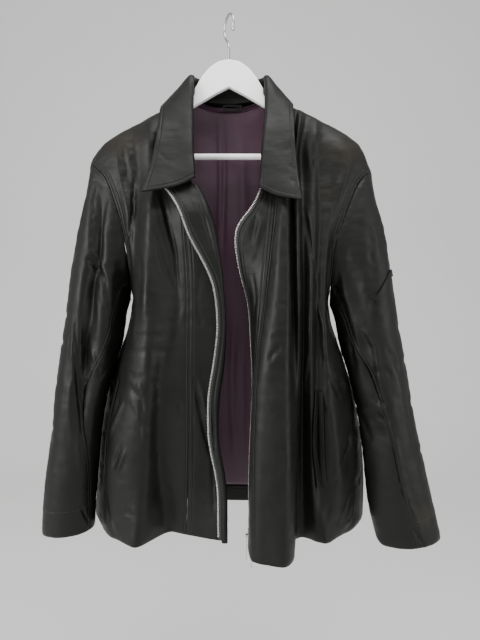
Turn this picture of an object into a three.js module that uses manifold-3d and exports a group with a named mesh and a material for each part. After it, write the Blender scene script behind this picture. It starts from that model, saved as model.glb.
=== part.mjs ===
import * as THREE from 'three';
import { mergeVertices } from 'three/addons/utils/BufferGeometryUtils.js';
import Module from 'manifold-3d';

// A man's leather jacket, open at the front, on a wooden hanger. Millimetres, +Z up. The origin is the
// inner top of the hanger's hook, the jacket's front faces -Y, and its wearer's left is +X.

// Driving sizes.
const leather = 2; // thickness of the shell and its facings
const liningCloth = 1;
const seamGap = 0.3; // between two pieces that are sewn together
const seamHalf = 0.2; // how far a panel stops from the shoulder seam
const princessLine = 2; // the line of a front that its two panels meet on
const seamStep = 0.008; // how far each stops from it, in lines
const stepsPerLine = 2; // how finely a panel's wall is divided across
const liningLine = 6; // the line of the back, on either side, that its lining and hem facing reach
const liningBehind = 2; // the room between the shell of the back and its lining
const facingBehind = 1.2; // and between the shell and the facing of its hem
const rightSide = -1; // the sign of X on each side of the wearer
const leftSide = 1;
const neckPoint = { x: 68, z: -129 }; // where shoulder seam and neck seam meet
const roundingDepth = 70; // how far below the shoulder seam a panel takes to reach its full depth
const heights = { yoke: -240, chest: -350, ribs: -480, waist: -600, hip: -740, hem: -888 };

const collarRoll = 4; // half the width of the collar's fold
const zipTape = { width: 6, thickness: 1, gap: 0.5, sunk: 0.75 * leather };
const slider = { x: 34, y: -65, width: 8, depth: 4, height: 12, ear: 1.1 };
const pull = { length: 40, width: 5, thickness: 1.4, neck: 3.6, barrel: 2, eye: 1.3, pin: 0.9 };

const hangerWood = { thickness: 12, bevel: 2.5 };
const bar = { radius: 5.25, tenon: 3.5, z: -233, shoulder: 184.8, reach: 200, play: 0.3 };
const hook = { wire: 2, ball: 3, turn: 65, sides: 8, steps: 30 };
const neckLoop = { width: 33, height: 11, border: 3.2, thickness: 2, x: 5.5, y: 17, z: -146 };

const colours = {
  leather: 0x1b1c1b, lining: 0x3f2433, white: 0xf1f2ee, steel: 0xa9abab, tape: 0x16171a, nickel: 0xb4b2ab,
};
const leatherFinish = new THREE.MeshStandardMaterial({ color: colours.leather, roughness: 0.42 });
const liningFinish = new THREE.MeshStandardMaterial({ color: colours.lining, roughness: 0.5 });
const paintFinish = new THREE.MeshStandardMaterial({ color: colours.white, roughness: 0.35 });
const steelFinish = new THREE.MeshStandardMaterial({ color: colours.steel, roughness: 0.25, metalness: 1 });
const tapeFinish = new THREE.MeshStandardMaterial({ color: colours.tape, roughness: 0.8 });
const nickelFinish = new THREE.MeshStandardMaterial({ color: colours.nickel, roughness: 0.3, metalness: 1 });

// Smooth curves through tables.

function hermite(a, b, slopeA, slopeB, t) {
  const t2 = t * t;
  const t3 = t2 * t;
  return a * (2 * t3 - 3 * t2 + 1) + slopeA * (t3 - 2 * t2 + t) + b * (3 * t2 - 2 * t3) + slopeB * (t3 - t2);
}

// A column of a table at any place `at` along its key column, which may rise or fall down the table.
function columnAt(rows, key, column, at) {
  const last = rows.length - 1;
  const sign = Math.sign(rows[last][key] - rows[0][key]);
  const place = Math.min(Math.max(at * sign, rows[0][key] * sign), rows[last][key] * sign);
  let i = 0;
  while (i < last - 1 && rows[i + 1][key] * sign < place) i += 1;
  const rise = (k) => (rows[k + 1][column] - rows[k][column]) / ((rows[k + 1][key] - rows[k][key]) * sign);
  const slope = (k) => {
    const before = rise(Math.max(k - 1, 0));
    const after = rise(Math.min(k, last - 1));
    return before * after > 0 ? (2 * before * after) / (before + after) : 0;
  };
  const step = (rows[i + 1][key] - rows[i][key]) * sign;
  const t = (place - rows[i][key] * sign) / step;
  return hermite(rows[i][column], rows[i + 1][column], slope(i) * step, slope(i + 1) * step, t);
}

const numbered = (rows) => rows.map((row, number) => ({ ...row, number }));
const spread = (from, to, steps) =>
  Array.from({ length: steps + 1 }, (_, i) => from + ((to - from) * i) / steps);

// Closed walls.

// Turns vertices and triangles into a mesh whose faces point out.
function solid(name, finish, vertices, triangles) {
  let volume = 0;
  for (const [a, b, c] of triangles) {
    volume += vertices[a].dot(new THREE.Vector3().crossVectors(vertices[b], vertices[c]));
  }
  const geometry = new THREE.BufferGeometry();
  const order = volume < 0 ? triangles.map(([a, b, c]) => [a, c, b]) : triangles;
  geometry.setAttribute('position', new THREE.Float32BufferAttribute(vertices.flatMap((p) => p.toArray()), 3));
  geometry.setIndex(order.flat());
  geometry.computeVertexNormals();
  const mesh = new THREE.Mesh(geometry, finish);
  mesh.name = name;
  return mesh;
}

function normalOf(surface, u, v) {
  const step = 0.02;
  const across = surface(u + step, v).sub(surface(u - step, v));
  const down = surface(u, v + step).sub(surface(u, v - step));
  return across.cross(down).normalize();
}

// A wall of cloth: its outer face lies on surface(u, v), raised by `lift`, and its inner face a thickness
// behind. `outward` is 1 or -1 and picks the side; `seam(u, v)` may give the direction of the thickness
// at an edge that two panels share.
function clothWall(name, finish, surface, us, vs, { thickness = leather, lift = 0, outward = 1, seam } = {}) {
  const outer = [];
  const inner = [];
  for (const v of vs) {
    for (const u of us) {
      const normal = (seam && seam(u, v)) || normalOf(surface, u, v).multiplyScalar(outward);
      const point = surface(u, v);
      outer.push(point.clone().addScaledVector(normal, lift));
      inner.push(point.clone().addScaledVector(normal, lift - thickness));
    }
  }
  const columns = us.length;
  const count = outer.length;
  const triangles = [];
  const quad = (a, b, c, d) => triangles.push([a, b, c], [a, c, d]);
  for (let row = 0; row + 1 < vs.length; row += 1) {
    for (let column = 0; column + 1 < columns; column += 1) {
      const a = row * columns + column;
      quad(a, a + 1, a + 1 + columns, a + columns);
      quad(count + a, count + a + columns, count + a + 1 + columns, count + a + 1);
    }
    const left = row * columns;
    const right = left + columns - 1;
    quad(left, left + columns, count + left + columns, count + left);
    quad(right, count + right, count + right + columns, right + columns);
  }
  for (let column = 0; column + 1 < columns; column += 1) {
    const top = column;
    const bottom = (vs.length - 1) * columns + column;
    quad(top, count + top, count + top + 1, top + 1);
    quad(bottom, bottom + 1, count + bottom + 1, count + bottom);
  }
  return solid(name, finish, [...outer, ...inner], triangles);
}

// A strip with a rectangular section along a row of places {point, normal}, `lift` above them.
function strip(name, finish, places, width, thickness, lift) {
  const vertices = [];
  const triangles = [];
  const quad = (a, b, c, d) => triangles.push([a, b, c], [a, c, d]);
  places.forEach(({ point, normal }, i) => {
    const ahead = places[Math.min(i + 1, places.length - 1)].point;
    const behind = places[Math.max(i - 1, 0)].point;
    const side = ahead.clone().sub(behind).cross(normal).normalize();
    for (const [across, up] of [[-0.5, 0], [0.5, 0], [0.5, 1], [-0.5, 1]]) {
      const corner = point.clone().addScaledVector(side, across * width);
      vertices.push(corner.addScaledVector(normal, lift + up * thickness));
    }
    for (let k = 0; i > 0 && k < 4; k += 1) {
      const next = (k + 1) % 4;
      quad(4 * i - 4 + k, 4 * i - 4 + next, 4 * i + next, 4 * i + k);
    }
  });
  const end = vertices.length - 4;
  quad(3, 2, 1, 0);
  quad(end, end + 1, end + 2, end + 3);
  return solid(name, finish, vertices, triangles);
}

// The shoulder seams: height of the seam at a distance from the centre.

const shoulderSeam = {
  right: [
    { x: 68, z: -129 }, { x: 117, z: -157.5 }, { x: 172, z: -185.5 }, { x: 208, z: -206 }, { x: 225, z: -220 },
    { x: 240, z: -243 },
  ],
  left: [
    { x: 68, z: -129 }, { x: 112, z: -151.5 }, { x: 147, z: -167 }, { x: 205, z: -199 }, { x: 224, z: -214 },
    { x: 236, z: -232 }, { x: 246, z: -257 },
  ],
};

// Armhole and side seam, from the shoulder's tip down; x is the distance from the centre.
const sideSeam = {
  right: {
    under: -480,
    front: [
      { z: -243, x: 240, y: -0.2 }, { z: -251, x: 231, y: -13 }, { z: -270, x: 211, y: -24 },
      { z: -300, x: 197, y: -32 }, { z: -338, x: 184, y: -37 }, { z: -385, x: 174, y: -37 },
      { z: -430, x: 171, y: -27 }, { z: -480, x: 172, y: -0.6 }, { z: -540, x: 186, y: 8 },
      { z: -600, x: 210, y: 15 }, { z: -660, x: 227, y: 18 }, { z: -715, x: 237, y: 18 },
      { z: -800, x: 246, y: 18 }, { z: -888, x: 251, y: 16 },
    ],
    back: [
      { z: -243, x: 240, y: 0.2 }, { z: -251, x: 235, y: 12 }, { z: -270, x: 224, y: 24 },
      { z: -300, x: 214, y: 33 }, { z: -338, x: 203, y: 39 }, { z: -385, x: 191, y: 40 },
      { z: -430, x: 180, y: 31 }, { z: -480, x: 172, y: 0.8 }, { z: -540, x: 186, y: 9.3 },
      { z: -600, x: 210, y: 16.2 }, { z: -660, x: 227, y: 19.2 }, { z: -715, x: 237, y: 19.2 },
      { z: -800, x: 246, y: 19 }, { z: -888, x: 251, y: 17 },
    ],
  },
  left: {
    under: -490,
    front: [
      { z: -257, x: 246, y: -0.2 }, { z: -264, x: 237, y: -13 }, { z: -280, x: 221, y: -24 },
      { z: -304, x: 208, y: -32 }, { z: -340, x: 194, y: -37 }, { z: -390, x: 178, y: -38 },
      { z: -440, x: 175, y: -27 }, { z: -490, x: 176, y: -0.6 }, { z: -560, x: 195.5, y: 10 },
      { z: -640, x: 224, y: 17 }, { z: -715, x: 240, y: 20 }, { z: -800, x: 249, y: 20 },
      { z: -888, x: 249, y: 18 },
    ],
    back: [
      { z: -257, x: 246, y: 0.2 }, { z: -264, x: 241, y: 12 }, { z: -280, x: 231, y: 24 },
      { z: -304, x: 221, y: 33 }, { z: -340, x: 209, y: 39 }, { z: -390, x: 194, y: 40 },
      { z: -440, x: 184, y: 31 }, { z: -490, x: 176, y: 1.4 }, { z: -560, x: 195.5, y: 12.2 },
      { z: -640, x: 224, y: 18.2 }, { z: -715, x: 240, y: 21.2 }, { z: -800, x: 249, y: 21 },
      { z: -888, x: 249, y: 19 },
    ],
  },
};

// The line that a front's inner edge follows: neck seam, then roll line or zip edge.
const frontEdge = {
  right: [
    { z: -129, x: 68, y: -0.2 }, { z: -140, x: 68, y: -9.5 }, { z: -170, x: 67, y: -17 },
    { z: -205, x: 66, y: -26 }, { z: -240, x: 66, y: -38 }, { z: -275, x: 66, y: -54 },
    { z: -300, x: 50, y: -61 }, { z: -330, x: 36, y: -68 }, { z: -362, x: 26, y: -72 },
    { z: -410, x: 17.5, y: -73 }, { z: -456, x: 12, y: -69 }, { z: -526, x: 8, y: -64 },
    { z: -580, x: 11, y: -62 }, { z: -655, x: 20, y: -62 }, { z: -700, x: 21, y: -64 },
    { z: -745, x: 14, y: -67 }, { z: -800, x: 6, y: -72 }, { z: -888, x: 5, y: -80 },
  ],
  left: [
    { z: -129, x: 68, y: -0.2 }, { z: -140, x: 68, y: -9.5 }, { z: -170, x: 67, y: -17 },
    { z: -205, x: 66, y: -26 }, { z: -240, x: 64, y: -38 }, { z: -275, x: 60, y: -54 },
    { z: -300, x: 56, y: -62 }, { z: -330, x: 42, y: -66 }, { z: -362, x: 20, y: -66 },
    { z: -390, x: 17, y: -64 }, { z: -425, x: 21, y: -60 }, { z: -495, x: 34, y: -54 },
    { z: -560, x: 37, y: -54 }, { z: -617, x: 39, y: -56 }, { z: -700, x: 36, y: -60 },
    { z: -800, x: 33, y: -66 }, { z: -888, x: 33, y: -72 },
  ],
};

// How far down each front a row of its cloth lies, at the inner edge and at the side.
const frontRows = {
  right: [
    { edge: -129, side: -243 }, { edge: -133, side: -245 }, { edge: -141, side: -250 },
    { edge: -160, side: -258 }, { edge: -185, side: -270 }, { edge: -215, side: -286 },
    { edge: -246, side: -304 }, { edge: -275, side: -320 }, { edge: -300, side: -338 },
    { edge: -330, side: -360 }, { edge: -366, side: -388 }, { edge: -404, side: -418 },
    { edge: -440, side: -447 }, { edge: -466, side: -468 }, { edge: -490, side: -480 },
    { edge: -522, side: -520 }, { edge: -560, side: -560 }, { edge: -600, side: -600 },
    { edge: -640, side: -640 }, { edge: -680, side: -680 }, { edge: -720, side: -720 },
    { edge: -760, side: -760 }, { edge: -800, side: -800 }, { edge: -842, side: -842 },
    { edge: -882, side: -880 },
  ],
  left: [
    { edge: -129, side: -257 }, { edge: -133, side: -259 }, { edge: -141, side: -264 },
    { edge: -160, side: -272 }, { edge: -185, side: -284 }, { edge: -215, side: -299 },
    { edge: -246, side: -314 }, { edge: -275, side: -328 }, { edge: -300, side: -344 },
    { edge: -330, side: -365 }, { edge: -362, side: -394 }, { edge: -396, side: -424 },
    { edge: -434, side: -453 }, { edge: -464, side: -477 }, { edge: -490, side: -490 },
    { edge: -524, side: -525 }, { edge: -560, side: -560 }, { edge: -600, side: -600 },
    { edge: -640, side: -640 }, { edge: -680, side: -680 }, { edge: -720, side: -720 },
    { edge: -760, side: -760 }, { edge: -800, side: -800 }, { edge: -842, side: -842 },
    { edge: -888, side: -882 },
  ],
};

// The folds of each front, from its inner edge to its side. A fold gives its place on the shoulder seam
// and, at each named height, how far from the centre it lies and its depth in Y.
const frontFolds = {
  right: [
    {
      name: 'stripHollow', top: 82,
      yoke: [80, -39], chest: [52, -74], ribs: [38, -69], waist: [46, -62], hip: [36, -60], hem: [36, -70],
    },
    {
      name: 'princessSeam', top: 96,
      yoke: [92, -37], chest: [72, -71], ribs: [65, -71], waist: [66, -69], hip: [68, -65], hem: [74, -57],
    },
    {
      name: 'longHollow', top: 112,
      yoke: [110, -33], chest: [96, -62], ribs: [86, -68], waist: [106, -74], hip: [114, -64], hem: [107, -50],
    },
    {
      name: 'chestRidge', top: 132,
      yoke: [130, -40], chest: [126, -72],
      ribs: [126, -86], waist: [130, -91], hip: [134, -88], hem: [149, -100],
    },
    {
      name: 'armHollow', top: 156,
      yoke: [157, -30], chest: [154, -50],
      ribs: [152, -67], waist: [158, -80], hip: [170, -86], hem: [186, -78],
    },
    {
      name: 'flank', top: 188,
      yoke: [184, -34], chest: [165, -50],
      ribs: [160, -49], waist: [178, -56], hip: [200, -66], hem: [211, -56],
    },
    {
      name: 'turn', top: 217,
      yoke: [202, -31], chest: [173, -44],
      ribs: [162, -25], waist: [190, -30], hip: [215, -34], hem: [232, -20],
    },
  ],
  left: [
    {
      name: 'stripHollow', top: 80,
      yoke: [74, -39], chest: [50, -72], ribs: [42, -74], waist: [40, -80], hip: [36, -88], hem: [32, -100],
    },
    {
      name: 'princessSeam', top: 90,
      yoke: [84, -36], chest: [72, -74], ribs: [57, -88], waist: [43, -104], hip: [38, -118], hem: [38, -130],
    },
    {
      name: 'columnInner', top: 99,
      yoke: [92, -41], chest: [84, -83], ribs: [74, -104], waist: [62, -118], hip: [59, -130], hem: [62, -141],
    },
    {
      name: 'columnOuter', top: 107,
      yoke: [99, -40], chest: [96, -80], ribs: [95, -104], waist: [93, -118], hip: [92, -132], hem: [90, -146],
    },
    {
      name: 'cleft', top: 114,
      yoke: [104, -30], chest: [103, -60],
      ribs: [104, -80], waist: [106, -92], hip: [106, -112], hem: [106, -120],
    },
    {
      name: 'pleat', top: 122,
      yoke: [111, -41], chest: [111, -76],
      ribs: [112, -92], waist: [114, -86], hip: [113, -74], hem: [114, -66],
    },
    {
      name: 'pleatFoot', top: 132,
      yoke: [121, -29], chest: [121, -58],
      ribs: [122, -72], waist: [122, -70], hip: [124, -58], hem: [127, -57],
    },
    {
      name: 'fan', top: 146,
      yoke: [140, -38], chest: [138, -64],
      ribs: [133, -84], waist: [134, -84], hip: [138, -74], hem: [147, -72],
    },
    {
      name: 'fanFoot', top: 160,
      yoke: [154, -34], chest: [150, -52],
      ribs: [144, -68], waist: [146, -70], hip: [149, -62], hem: [164, -79],
    },
    {
      name: 'flank', top: 182,
      yoke: [182, -36], chest: [164, -52],
      ribs: [156, -70], waist: [164, -76], hip: [178, -72], hem: [190, -56],
    },
    {
      name: 'waistTurn', top: 206,
      yoke: [203, -34], chest: [173, -48],
      ribs: [164, -45], waist: [186, -50], hip: [203, -48], hem: [217, -34],
    },
    {
      name: 'turn', top: 226,
      yoke: [216, -30], chest: [179, -44], ribs: [165, -24], waist: [200, -26], hip: [222, -22], hem: [236, -8],
    },
  ],
};

// The back: its rows by height at the centre and the side, and its soft folds from the centre outwards.
const backRows = (tip, under) => [
  { edge: -142, side: tip }, { edge: -145, side: tip - 2 }, { edge: -154, side: tip - 7 },
  { edge: -170, side: tip - 16 }, { edge: -195, side: tip - 30 }, { edge: -235, side: tip - 52 },
  { edge: -280, side: tip - 84 }, { edge: -330, side: tip - 124 }, { edge: -385, side: tip - 166 },
  { edge: -435, side: tip - 204 }, { edge: -475, side: under + 12.5 }, { edge: -510, side: under },
  { edge: -540, side: (under - 560) / 2 }, { edge: -570, side: -560 }, { edge: -604, side: -600 },
  { edge: -642, side: -640 }, { edge: -712, side: -720 }, { edge: -788, side: -800 },
  { edge: -866, side: -880 },
];
const backCentre = [
  { z: -142, x: 0, y: 24 }, { z: -154, x: 0, y: 34 }, { z: -195, x: 0, y: 43 }, { z: -350, x: 0, y: 47 },
  { z: -620, x: 0, y: 49 }, { z: -866, x: 0, y: 47 },
];
const backNeck = [{ x: 36, y: 20, z: -139.5 }, { x: 68, y: 0.9, z: -129 }]; // where folds meet the neck seam
const backFolds = {
  right: [
    {
      name: 'centreRidge', top: 36,
      yoke: [36, 45], chest: [38, 50], ribs: [40, 50], waist: [42, 47], hip: [44, 46], hem: [46, 50],
    },
    {
      name: 'neckFold', top: 68,
      yoke: [72, 42], chest: [76, 45], ribs: [78, 46], waist: [82, 50], hip: [86, 51], hem: [90, 46],
    },
    {
      name: 'neckSide', top: 77,
      yoke: [84, 41], chest: [88, 47], ribs: [90, 48], waist: [94, 49], hip: [99, 49], hem: [104, 47],
    },
    {
      name: 'bladeRidge', top: 120,
      yoke: [118, 42], chest: [114, 50], ribs: [112, 50], waist: [118, 46], hip: [128, 45], hem: [134, 51],
    },
    {
      name: 'bladeFold', top: 164,
      yoke: [160, 38], chest: [150, 46], ribs: [142, 46], waist: [150, 49], hip: [166, 50], hem: [176, 45],
    },
    {
      name: 'flank', top: 202,
      yoke: [196, 33], chest: [182, 46], ribs: [162, 41], waist: [176, 44], hip: [202, 45], hem: [212, 46],
    },
    {
      name: 'turn', top: 226,
      yoke: [218, 27], chest: [194, 43], ribs: [171, 26], waist: [193, 33], hip: [221, 36], hem: [233, 36],
    },
  ],
  left: [
    {
      name: 'centreRidge', top: 36,
      yoke: [34, 44], chest: [36, 46], ribs: [38, 49], waist: [42, 50], hip: [46, 46], hem: [48, 45],
    },
    {
      name: 'neckFold', top: 68,
      yoke: [70, 44], chest: [74, 49], ribs: [80, 50], waist: [88, 46], hip: [92, 45], hem: [94, 50],
    },
    {
      name: 'neckSide', top: 77,
      yoke: [84, 43], chest: [88, 49], ribs: [94, 49], waist: [102, 46], hip: [106, 46], hem: [110, 49],
    },
    {
      name: 'bladeRidge', top: 120,
      yoke: [118, 41], chest: [116, 47], ribs: [118, 46], waist: [126, 49], hip: [134, 50], hem: [140, 46],
    },
    {
      name: 'bladeFold', top: 166,
      yoke: [162, 39], chest: [154, 48], ribs: [148, 47], waist: [160, 45], hip: [172, 47], hem: [182, 50],
    },
    {
      name: 'flank', top: 208,
      yoke: [202, 34], chest: [186, 46], ribs: [166, 42], waist: [186, 45], hip: [204, 48], hem: [214, 49],
    },
    {
      name: 'turn', top: 232,
      yoke: [224, 27], chest: [200, 43], ribs: [175, 27], waist: [204, 36], hip: [226, 39], hem: [233, 40],
    },
  ],
};

// The turned edge of the right front: how wide it lies on the shell, the radius of its roll, and how far
// its outer edge lifts.
const lapel = [
  { z: -288, width: 44, roll: 3.4, lift: 3 }, { z: -312, width: 42, roll: 3.4, lift: 3 },
  { z: -356, width: 38, roll: 3.4, lift: 3 }, { z: -404, width: 22, roll: 3.2, lift: 3 },
  { z: -444, width: 9, roll: 2.8, lift: 1 }, { z: -480, width: 5, roll: 2.3, lift: 0 },
  { z: -526, width: 5, roll: 2.3, lift: 0 }, { z: -580, width: 8, roll: 2.4, lift: 0.5 },
  { z: -623, width: 9, roll: 2.4, lift: 0.5 }, { z: -684, width: 7, roll: 2.4, lift: 0.5 },
  { z: -740, width: 6, roll: 2.3, lift: 0 }, { z: -888, width: 5, roll: 2.3, lift: 0 },
];

// The collar's stations from the back of the neck to the front end: neck seam, fold and outer edge.
const collarBack = [
  {
    seamX: 0, seamY: 22, seamZ: -138.5, crestX: 0, crestY: 27, crestZ: -100,
    edgeX: 0, edgeY: 55, edgeZ: -166, sag: 0,
  },
  {
    seamX: 37, seamY: 18, seamZ: -135.5, crestX: 35, crestY: 22, crestZ: -99,
    edgeX: 58, edgeY: 51, edgeZ: -164, sag: 0,
  },
  {
    seamX: 62, seamY: 9, seamZ: -128.5, crestX: 57, crestY: 11, crestZ: -99,
    edgeX: 94, edgeY: 29, edgeZ: -156, sag: 0,
  },
];
const collar = {
  right: [
    ...collarBack,
    {
      seamX: 67, seamY: -4, seamZ: -126.5, crestX: 61, crestY: -8, crestZ: -103,
      edgeX: 113, edgeY: -5, edgeZ: -150, sag: 0,
    },
    {
      seamX: 65, seamY: -18, seamZ: -180, crestX: 60, crestY: -32, crestZ: -168,
      edgeX: 116, edgeY: -48, edgeZ: -205, sag: 0,
    },
    {
      seamX: 64, seamY: -37, seamZ: -232, crestX: 58, crestY: -54, crestZ: -222,
      edgeX: 125, edgeY: -66, edgeZ: -262, sag: 2,
    },
    {
      seamX: 64, seamY: -54, seamZ: -271, crestX: 53, crestY: -74, crestZ: -283,
      edgeX: 136, edgeY: -88, edgeZ: -308, sag: 5,
    },
  ],
  left: [
    ...collarBack,
    {
      seamX: 67, seamY: -4, seamZ: -126.5, crestX: 62, crestY: -8, crestZ: -103,
      edgeX: 107, edgeY: -5, edgeZ: -147, sag: 0,
    },
    {
      seamX: 65, seamY: -18, seamZ: -180, crestX: 61, crestY: -32, crestZ: -167,
      edgeX: 107, edgeY: -47, edgeZ: -198, sag: 0,
    },
    {
      seamX: 62, seamY: -37, seamZ: -232, crestX: 56, crestY: -53, crestZ: -222,
      edgeX: 110, edgeY: -65, edgeZ: -262, sag: 2,
    },
    {
      seamX: 58, seamY: -54, seamZ: -271, crestX: 50, crestY: -73, crestZ: -298,
      edgeX: 116, edgeY: -87, edgeZ: -320, sag: 4,
    },
  ],
};

// The sleeves: each ring's outermost and innermost point, its front and back in Y, and the turn at which
// its front seam lies. A fold gives the turn of its line at some rings, its half width as a turn, and its
// height, which is negative for a groove.
const underarmDepth = 70; // how far down a side seam its wall takes to turn upright
const armholeHold = 4; // rings over which a sleeve leaves the armhole's shape
const armholeStart = 0.03; // the sleeve's first ring, just off the armhole seam
const underarmGap = 0.6; // how far the sleeve starts outside the side seam, under the arm
const seamAngle = 0.0005; // how far each part of a sleeve stops from their seams, in turns
const sleeveSteps = 17; // rows of a sleeve's wall from its second ring to its cuff
const sleeveSeams = { frontRow: 12, backRow: 8 }; // the panel rows where a sleeve's seams meet the armhole
const sleeves = {
  right: {
    rings: [
      { outerX: 240, outerZ: -243, innerX: 172, innerZ: -480, front: -37, back: 41, seam: 0.36 },
      { outerX: 242, outerZ: -262, innerX: 177, innerZ: -490, front: -40, back: 41, seam: 0.36 },
      { outerX: 245, outerZ: -286, innerX: 180, innerZ: -503, front: -44, back: 41, seam: 0.36 },
      { outerX: 253, outerZ: -328, innerX: 183, innerZ: -524, front: -48, back: 40, seam: 0.36 },
      { outerX: 262, outerZ: -376, innerX: 186, innerZ: -548, front: -51, back: 38, seam: 0.36 },
      { outerX: 274, outerZ: -443, innerX: 196, innerZ: -582, front: -54, back: 35, seam: 0.35 },
      { outerX: 286, outerZ: -520, innerX: 208, innerZ: -622, front: -56, back: 31, seam: 0.33 },
      { outerX: 296, outerZ: -582, innerX: 218, innerZ: -662, front: -57, back: 28, seam: 0.31 },
      { outerX: 306, outerZ: -650, innerX: 225, innerZ: -706, front: -58, back: 25, seam: 0.335 },
      { outerX: 314, outerZ: -715, innerX: 230, innerZ: -754, front: -58, back: 23, seam: 0.38 },
      { outerX: 322, outerZ: -770, innerX: 235, innerZ: -798, front: -58, back: 21, seam: 0.415 },
      { outerX: 330, outerZ: -830, innerX: 239, innerZ: -842, front: -57, back: 19, seam: 0.43 },
      { outerX: 335, outerZ: -892, innerX: 241, innerZ: -884, front: -56, back: 17, seam: 0.44 },
    ],
    folds: [
      {
        name: 'deepGroove', halfTurn: 0.035, height: -15,
        path: [
          { ring: 0.1, turn: 0.125 }, { ring: 2, turn: 0.18 },
          { ring: 3, turn: 0.225 }, { ring: 4.6, turn: 0.23 },
        ],
      },
      {
        name: 'darkFold', halfTurn: 0.04, height: -18,
        path: [
          { ring: 3.4, turn: 0.22 }, { ring: 5, turn: 0.25 },
          { ring: 6.5, turn: 0.28 }, { ring: 8.6, turn: 0.33 },
        ],
      },
      {
        name: 'innerBag', halfTurn: 0.055, height: 12,
        path: [{ ring: 1.5, turn: 0.32 }, { ring: 4.5, turn: 0.35 }, { ring: 7, turn: 0.4 }],
      },
      {
        name: 'backFold', halfTurn: 0.04, height: -11,
        path: [{ ring: 0.3, turn: 0.8 }, { ring: 5.4, turn: 0.74 }],
      },
      {
        name: 'elbowFold', halfTurn: 0.05, height: -8,
        path: [{ ring: 5.2, turn: 0.88 }, { ring: 8.8, turn: 0.8 }],
      },
    ],
  },
  left: {
    rings: [
      { outerX: 246, outerZ: -257, innerX: 176, innerZ: -490, front: -37, back: 41, seam: 0.4 },
      { outerX: 248, outerZ: -274, innerX: 181, innerZ: -499, front: -40, back: 41, seam: 0.4 },
      { outerX: 251, outerZ: -296, innerX: 185, innerZ: -513, front: -44, back: 41, seam: 0.4 },
      { outerX: 261, outerZ: -334, innerX: 190, innerZ: -536, front: -47, back: 41, seam: 0.39 },
      { outerX: 272, outerZ: -389, innerX: 196, innerZ: -566, front: -50, back: 40, seam: 0.38 },
      { outerX: 283, outerZ: -452, innerX: 207, innerZ: -602, front: -53, back: 38, seam: 0.36 },
      { outerX: 297, outerZ: -531, innerX: 219, innerZ: -648, front: -55, back: 35, seam: 0.32 },
      { outerX: 311, outerZ: -604, innerX: 229, innerZ: -694, front: -56, back: 32, seam: 0.295 },
      { outerX: 325, outerZ: -680, innerX: 237, innerZ: -748, front: -57, back: 30, seam: 0.27 },
      { outerX: 341, outerZ: -749, innerX: 243, innerZ: -802, front: -57, back: 28, seam: 0.262 },
      { outerX: 353, outerZ: -800, innerX: 248, innerZ: -842, front: -57, back: 26, seam: 0.252 },
      { outerX: 367, outerZ: -856, innerX: 257, innerZ: -882, front: -56, back: 24, seam: 0.25 },
      { outerX: 379, outerZ: -902, innerX: 266, innerZ: -914, front: -55, back: 22, seam: 0.25 },
    ],
    folds: [
      {
        name: 'elbowGroove', halfTurn: 0.03, height: -8,
        path: [{ ring: 4.2, turn: 0.3 }, { ring: 6, turn: 0.33 }, { ring: 8.4, turn: 0.36 }],
      },
      {
        name: 'seamRidge', halfTurn: 0.025, height: 4,
        path: [{ ring: 5.5, turn: 0.31 }, { ring: 8, turn: 0.255 }, { ring: 12.5, turn: 0.235 }],
      },
      {
        name: 'armpitFold', halfTurn: 0.04, height: -8,
        path: [{ ring: 0.2, turn: 0.33 }, { ring: 4.4, turn: 0.28 }],
      },
      {
        name: 'backFold', halfTurn: 0.04, height: -11,
        path: [{ ring: 0.3, turn: 0.79 }, { ring: 6, turn: 0.74 }],
      },
      {
        name: 'elbowFold', halfTurn: 0.05, height: -8,
        path: [{ ring: 5.5, turn: 0.86 }, { ring: 9.2, turn: 0.79 }],
      },
    ],
  },
};

// Turns a fold into a line with a row for each height, from the top seam down.
function foldLine(fold, seam, topY) {
  const topZ = columnAt(seam, 'x', 'z', fold.top);
  const rows = Object.entries(heights).map(([height, z]) => ({ z, x: fold[height][0], y: fold[height][1] }));
  const above = { z: Math.max(topZ, rows[0].z + 20), x: fold.top, y: rows[0].y };
  return { rows: [above, ...rows], topZ, topY };
}

// The share of its full depth that a panel has at a depth below its top seam: round over the shoulder.
function shoulderRise(below) {
  const share = Math.min(Math.max(below / roundingDepth, 0), 1);
  return Math.sin((Math.PI / 2) * share ** 0.6);
}

// A panel whose section at each row of its table is a smooth curve through its lines. The first and last
// lines are seams or edges, and those between are folds. u counts the lines, v the rows.
function panelSurface(side, lines, rows) {
  const stations = numbered(rows);
  const fall = lines.at(-1).topZ - lines[0].topZ;
  return (u, v) => {
    const edgeZ = columnAt(stations, 'number', 'edge', v);
    const sideZ = columnAt(stations, 'number', 'side', v);
    const points = lines.map((line) => {
      const z = edgeZ + ((sideZ - edgeZ) * (line.topZ - lines[0].topZ)) / fall;
      const x = columnAt(line.rows, 'z', 'x', z);
      const y = columnAt(line.rows, 'z', 'y', z);
      const depth = line.exact ? y : line.topY + (y - line.topY) * shoulderRise(line.topZ - z);
      return new THREE.Vector3(side * x, depth, z);
    });
    return new THREE.CatmullRomCurve3(points).getPoint(Math.min(Math.max(u / (lines.length - 1), 0), 1));
  };
}

function frontSurface(sideName, side) {
  const seam = shoulderSeam[sideName];
  const edge = { rows: frontEdge[sideName], topZ: neckPoint.z, exact: true };
  const armhole = { rows: sideSeam[sideName].front, topZ: seam.at(-1).z, exact: true };
  const folds = frontFolds[sideName].map((fold) => foldLine(fold, seam, -seamHalf));
  return panelSurface(side, [edge, ...folds, armhole], frontRows[sideName]);
}

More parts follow.
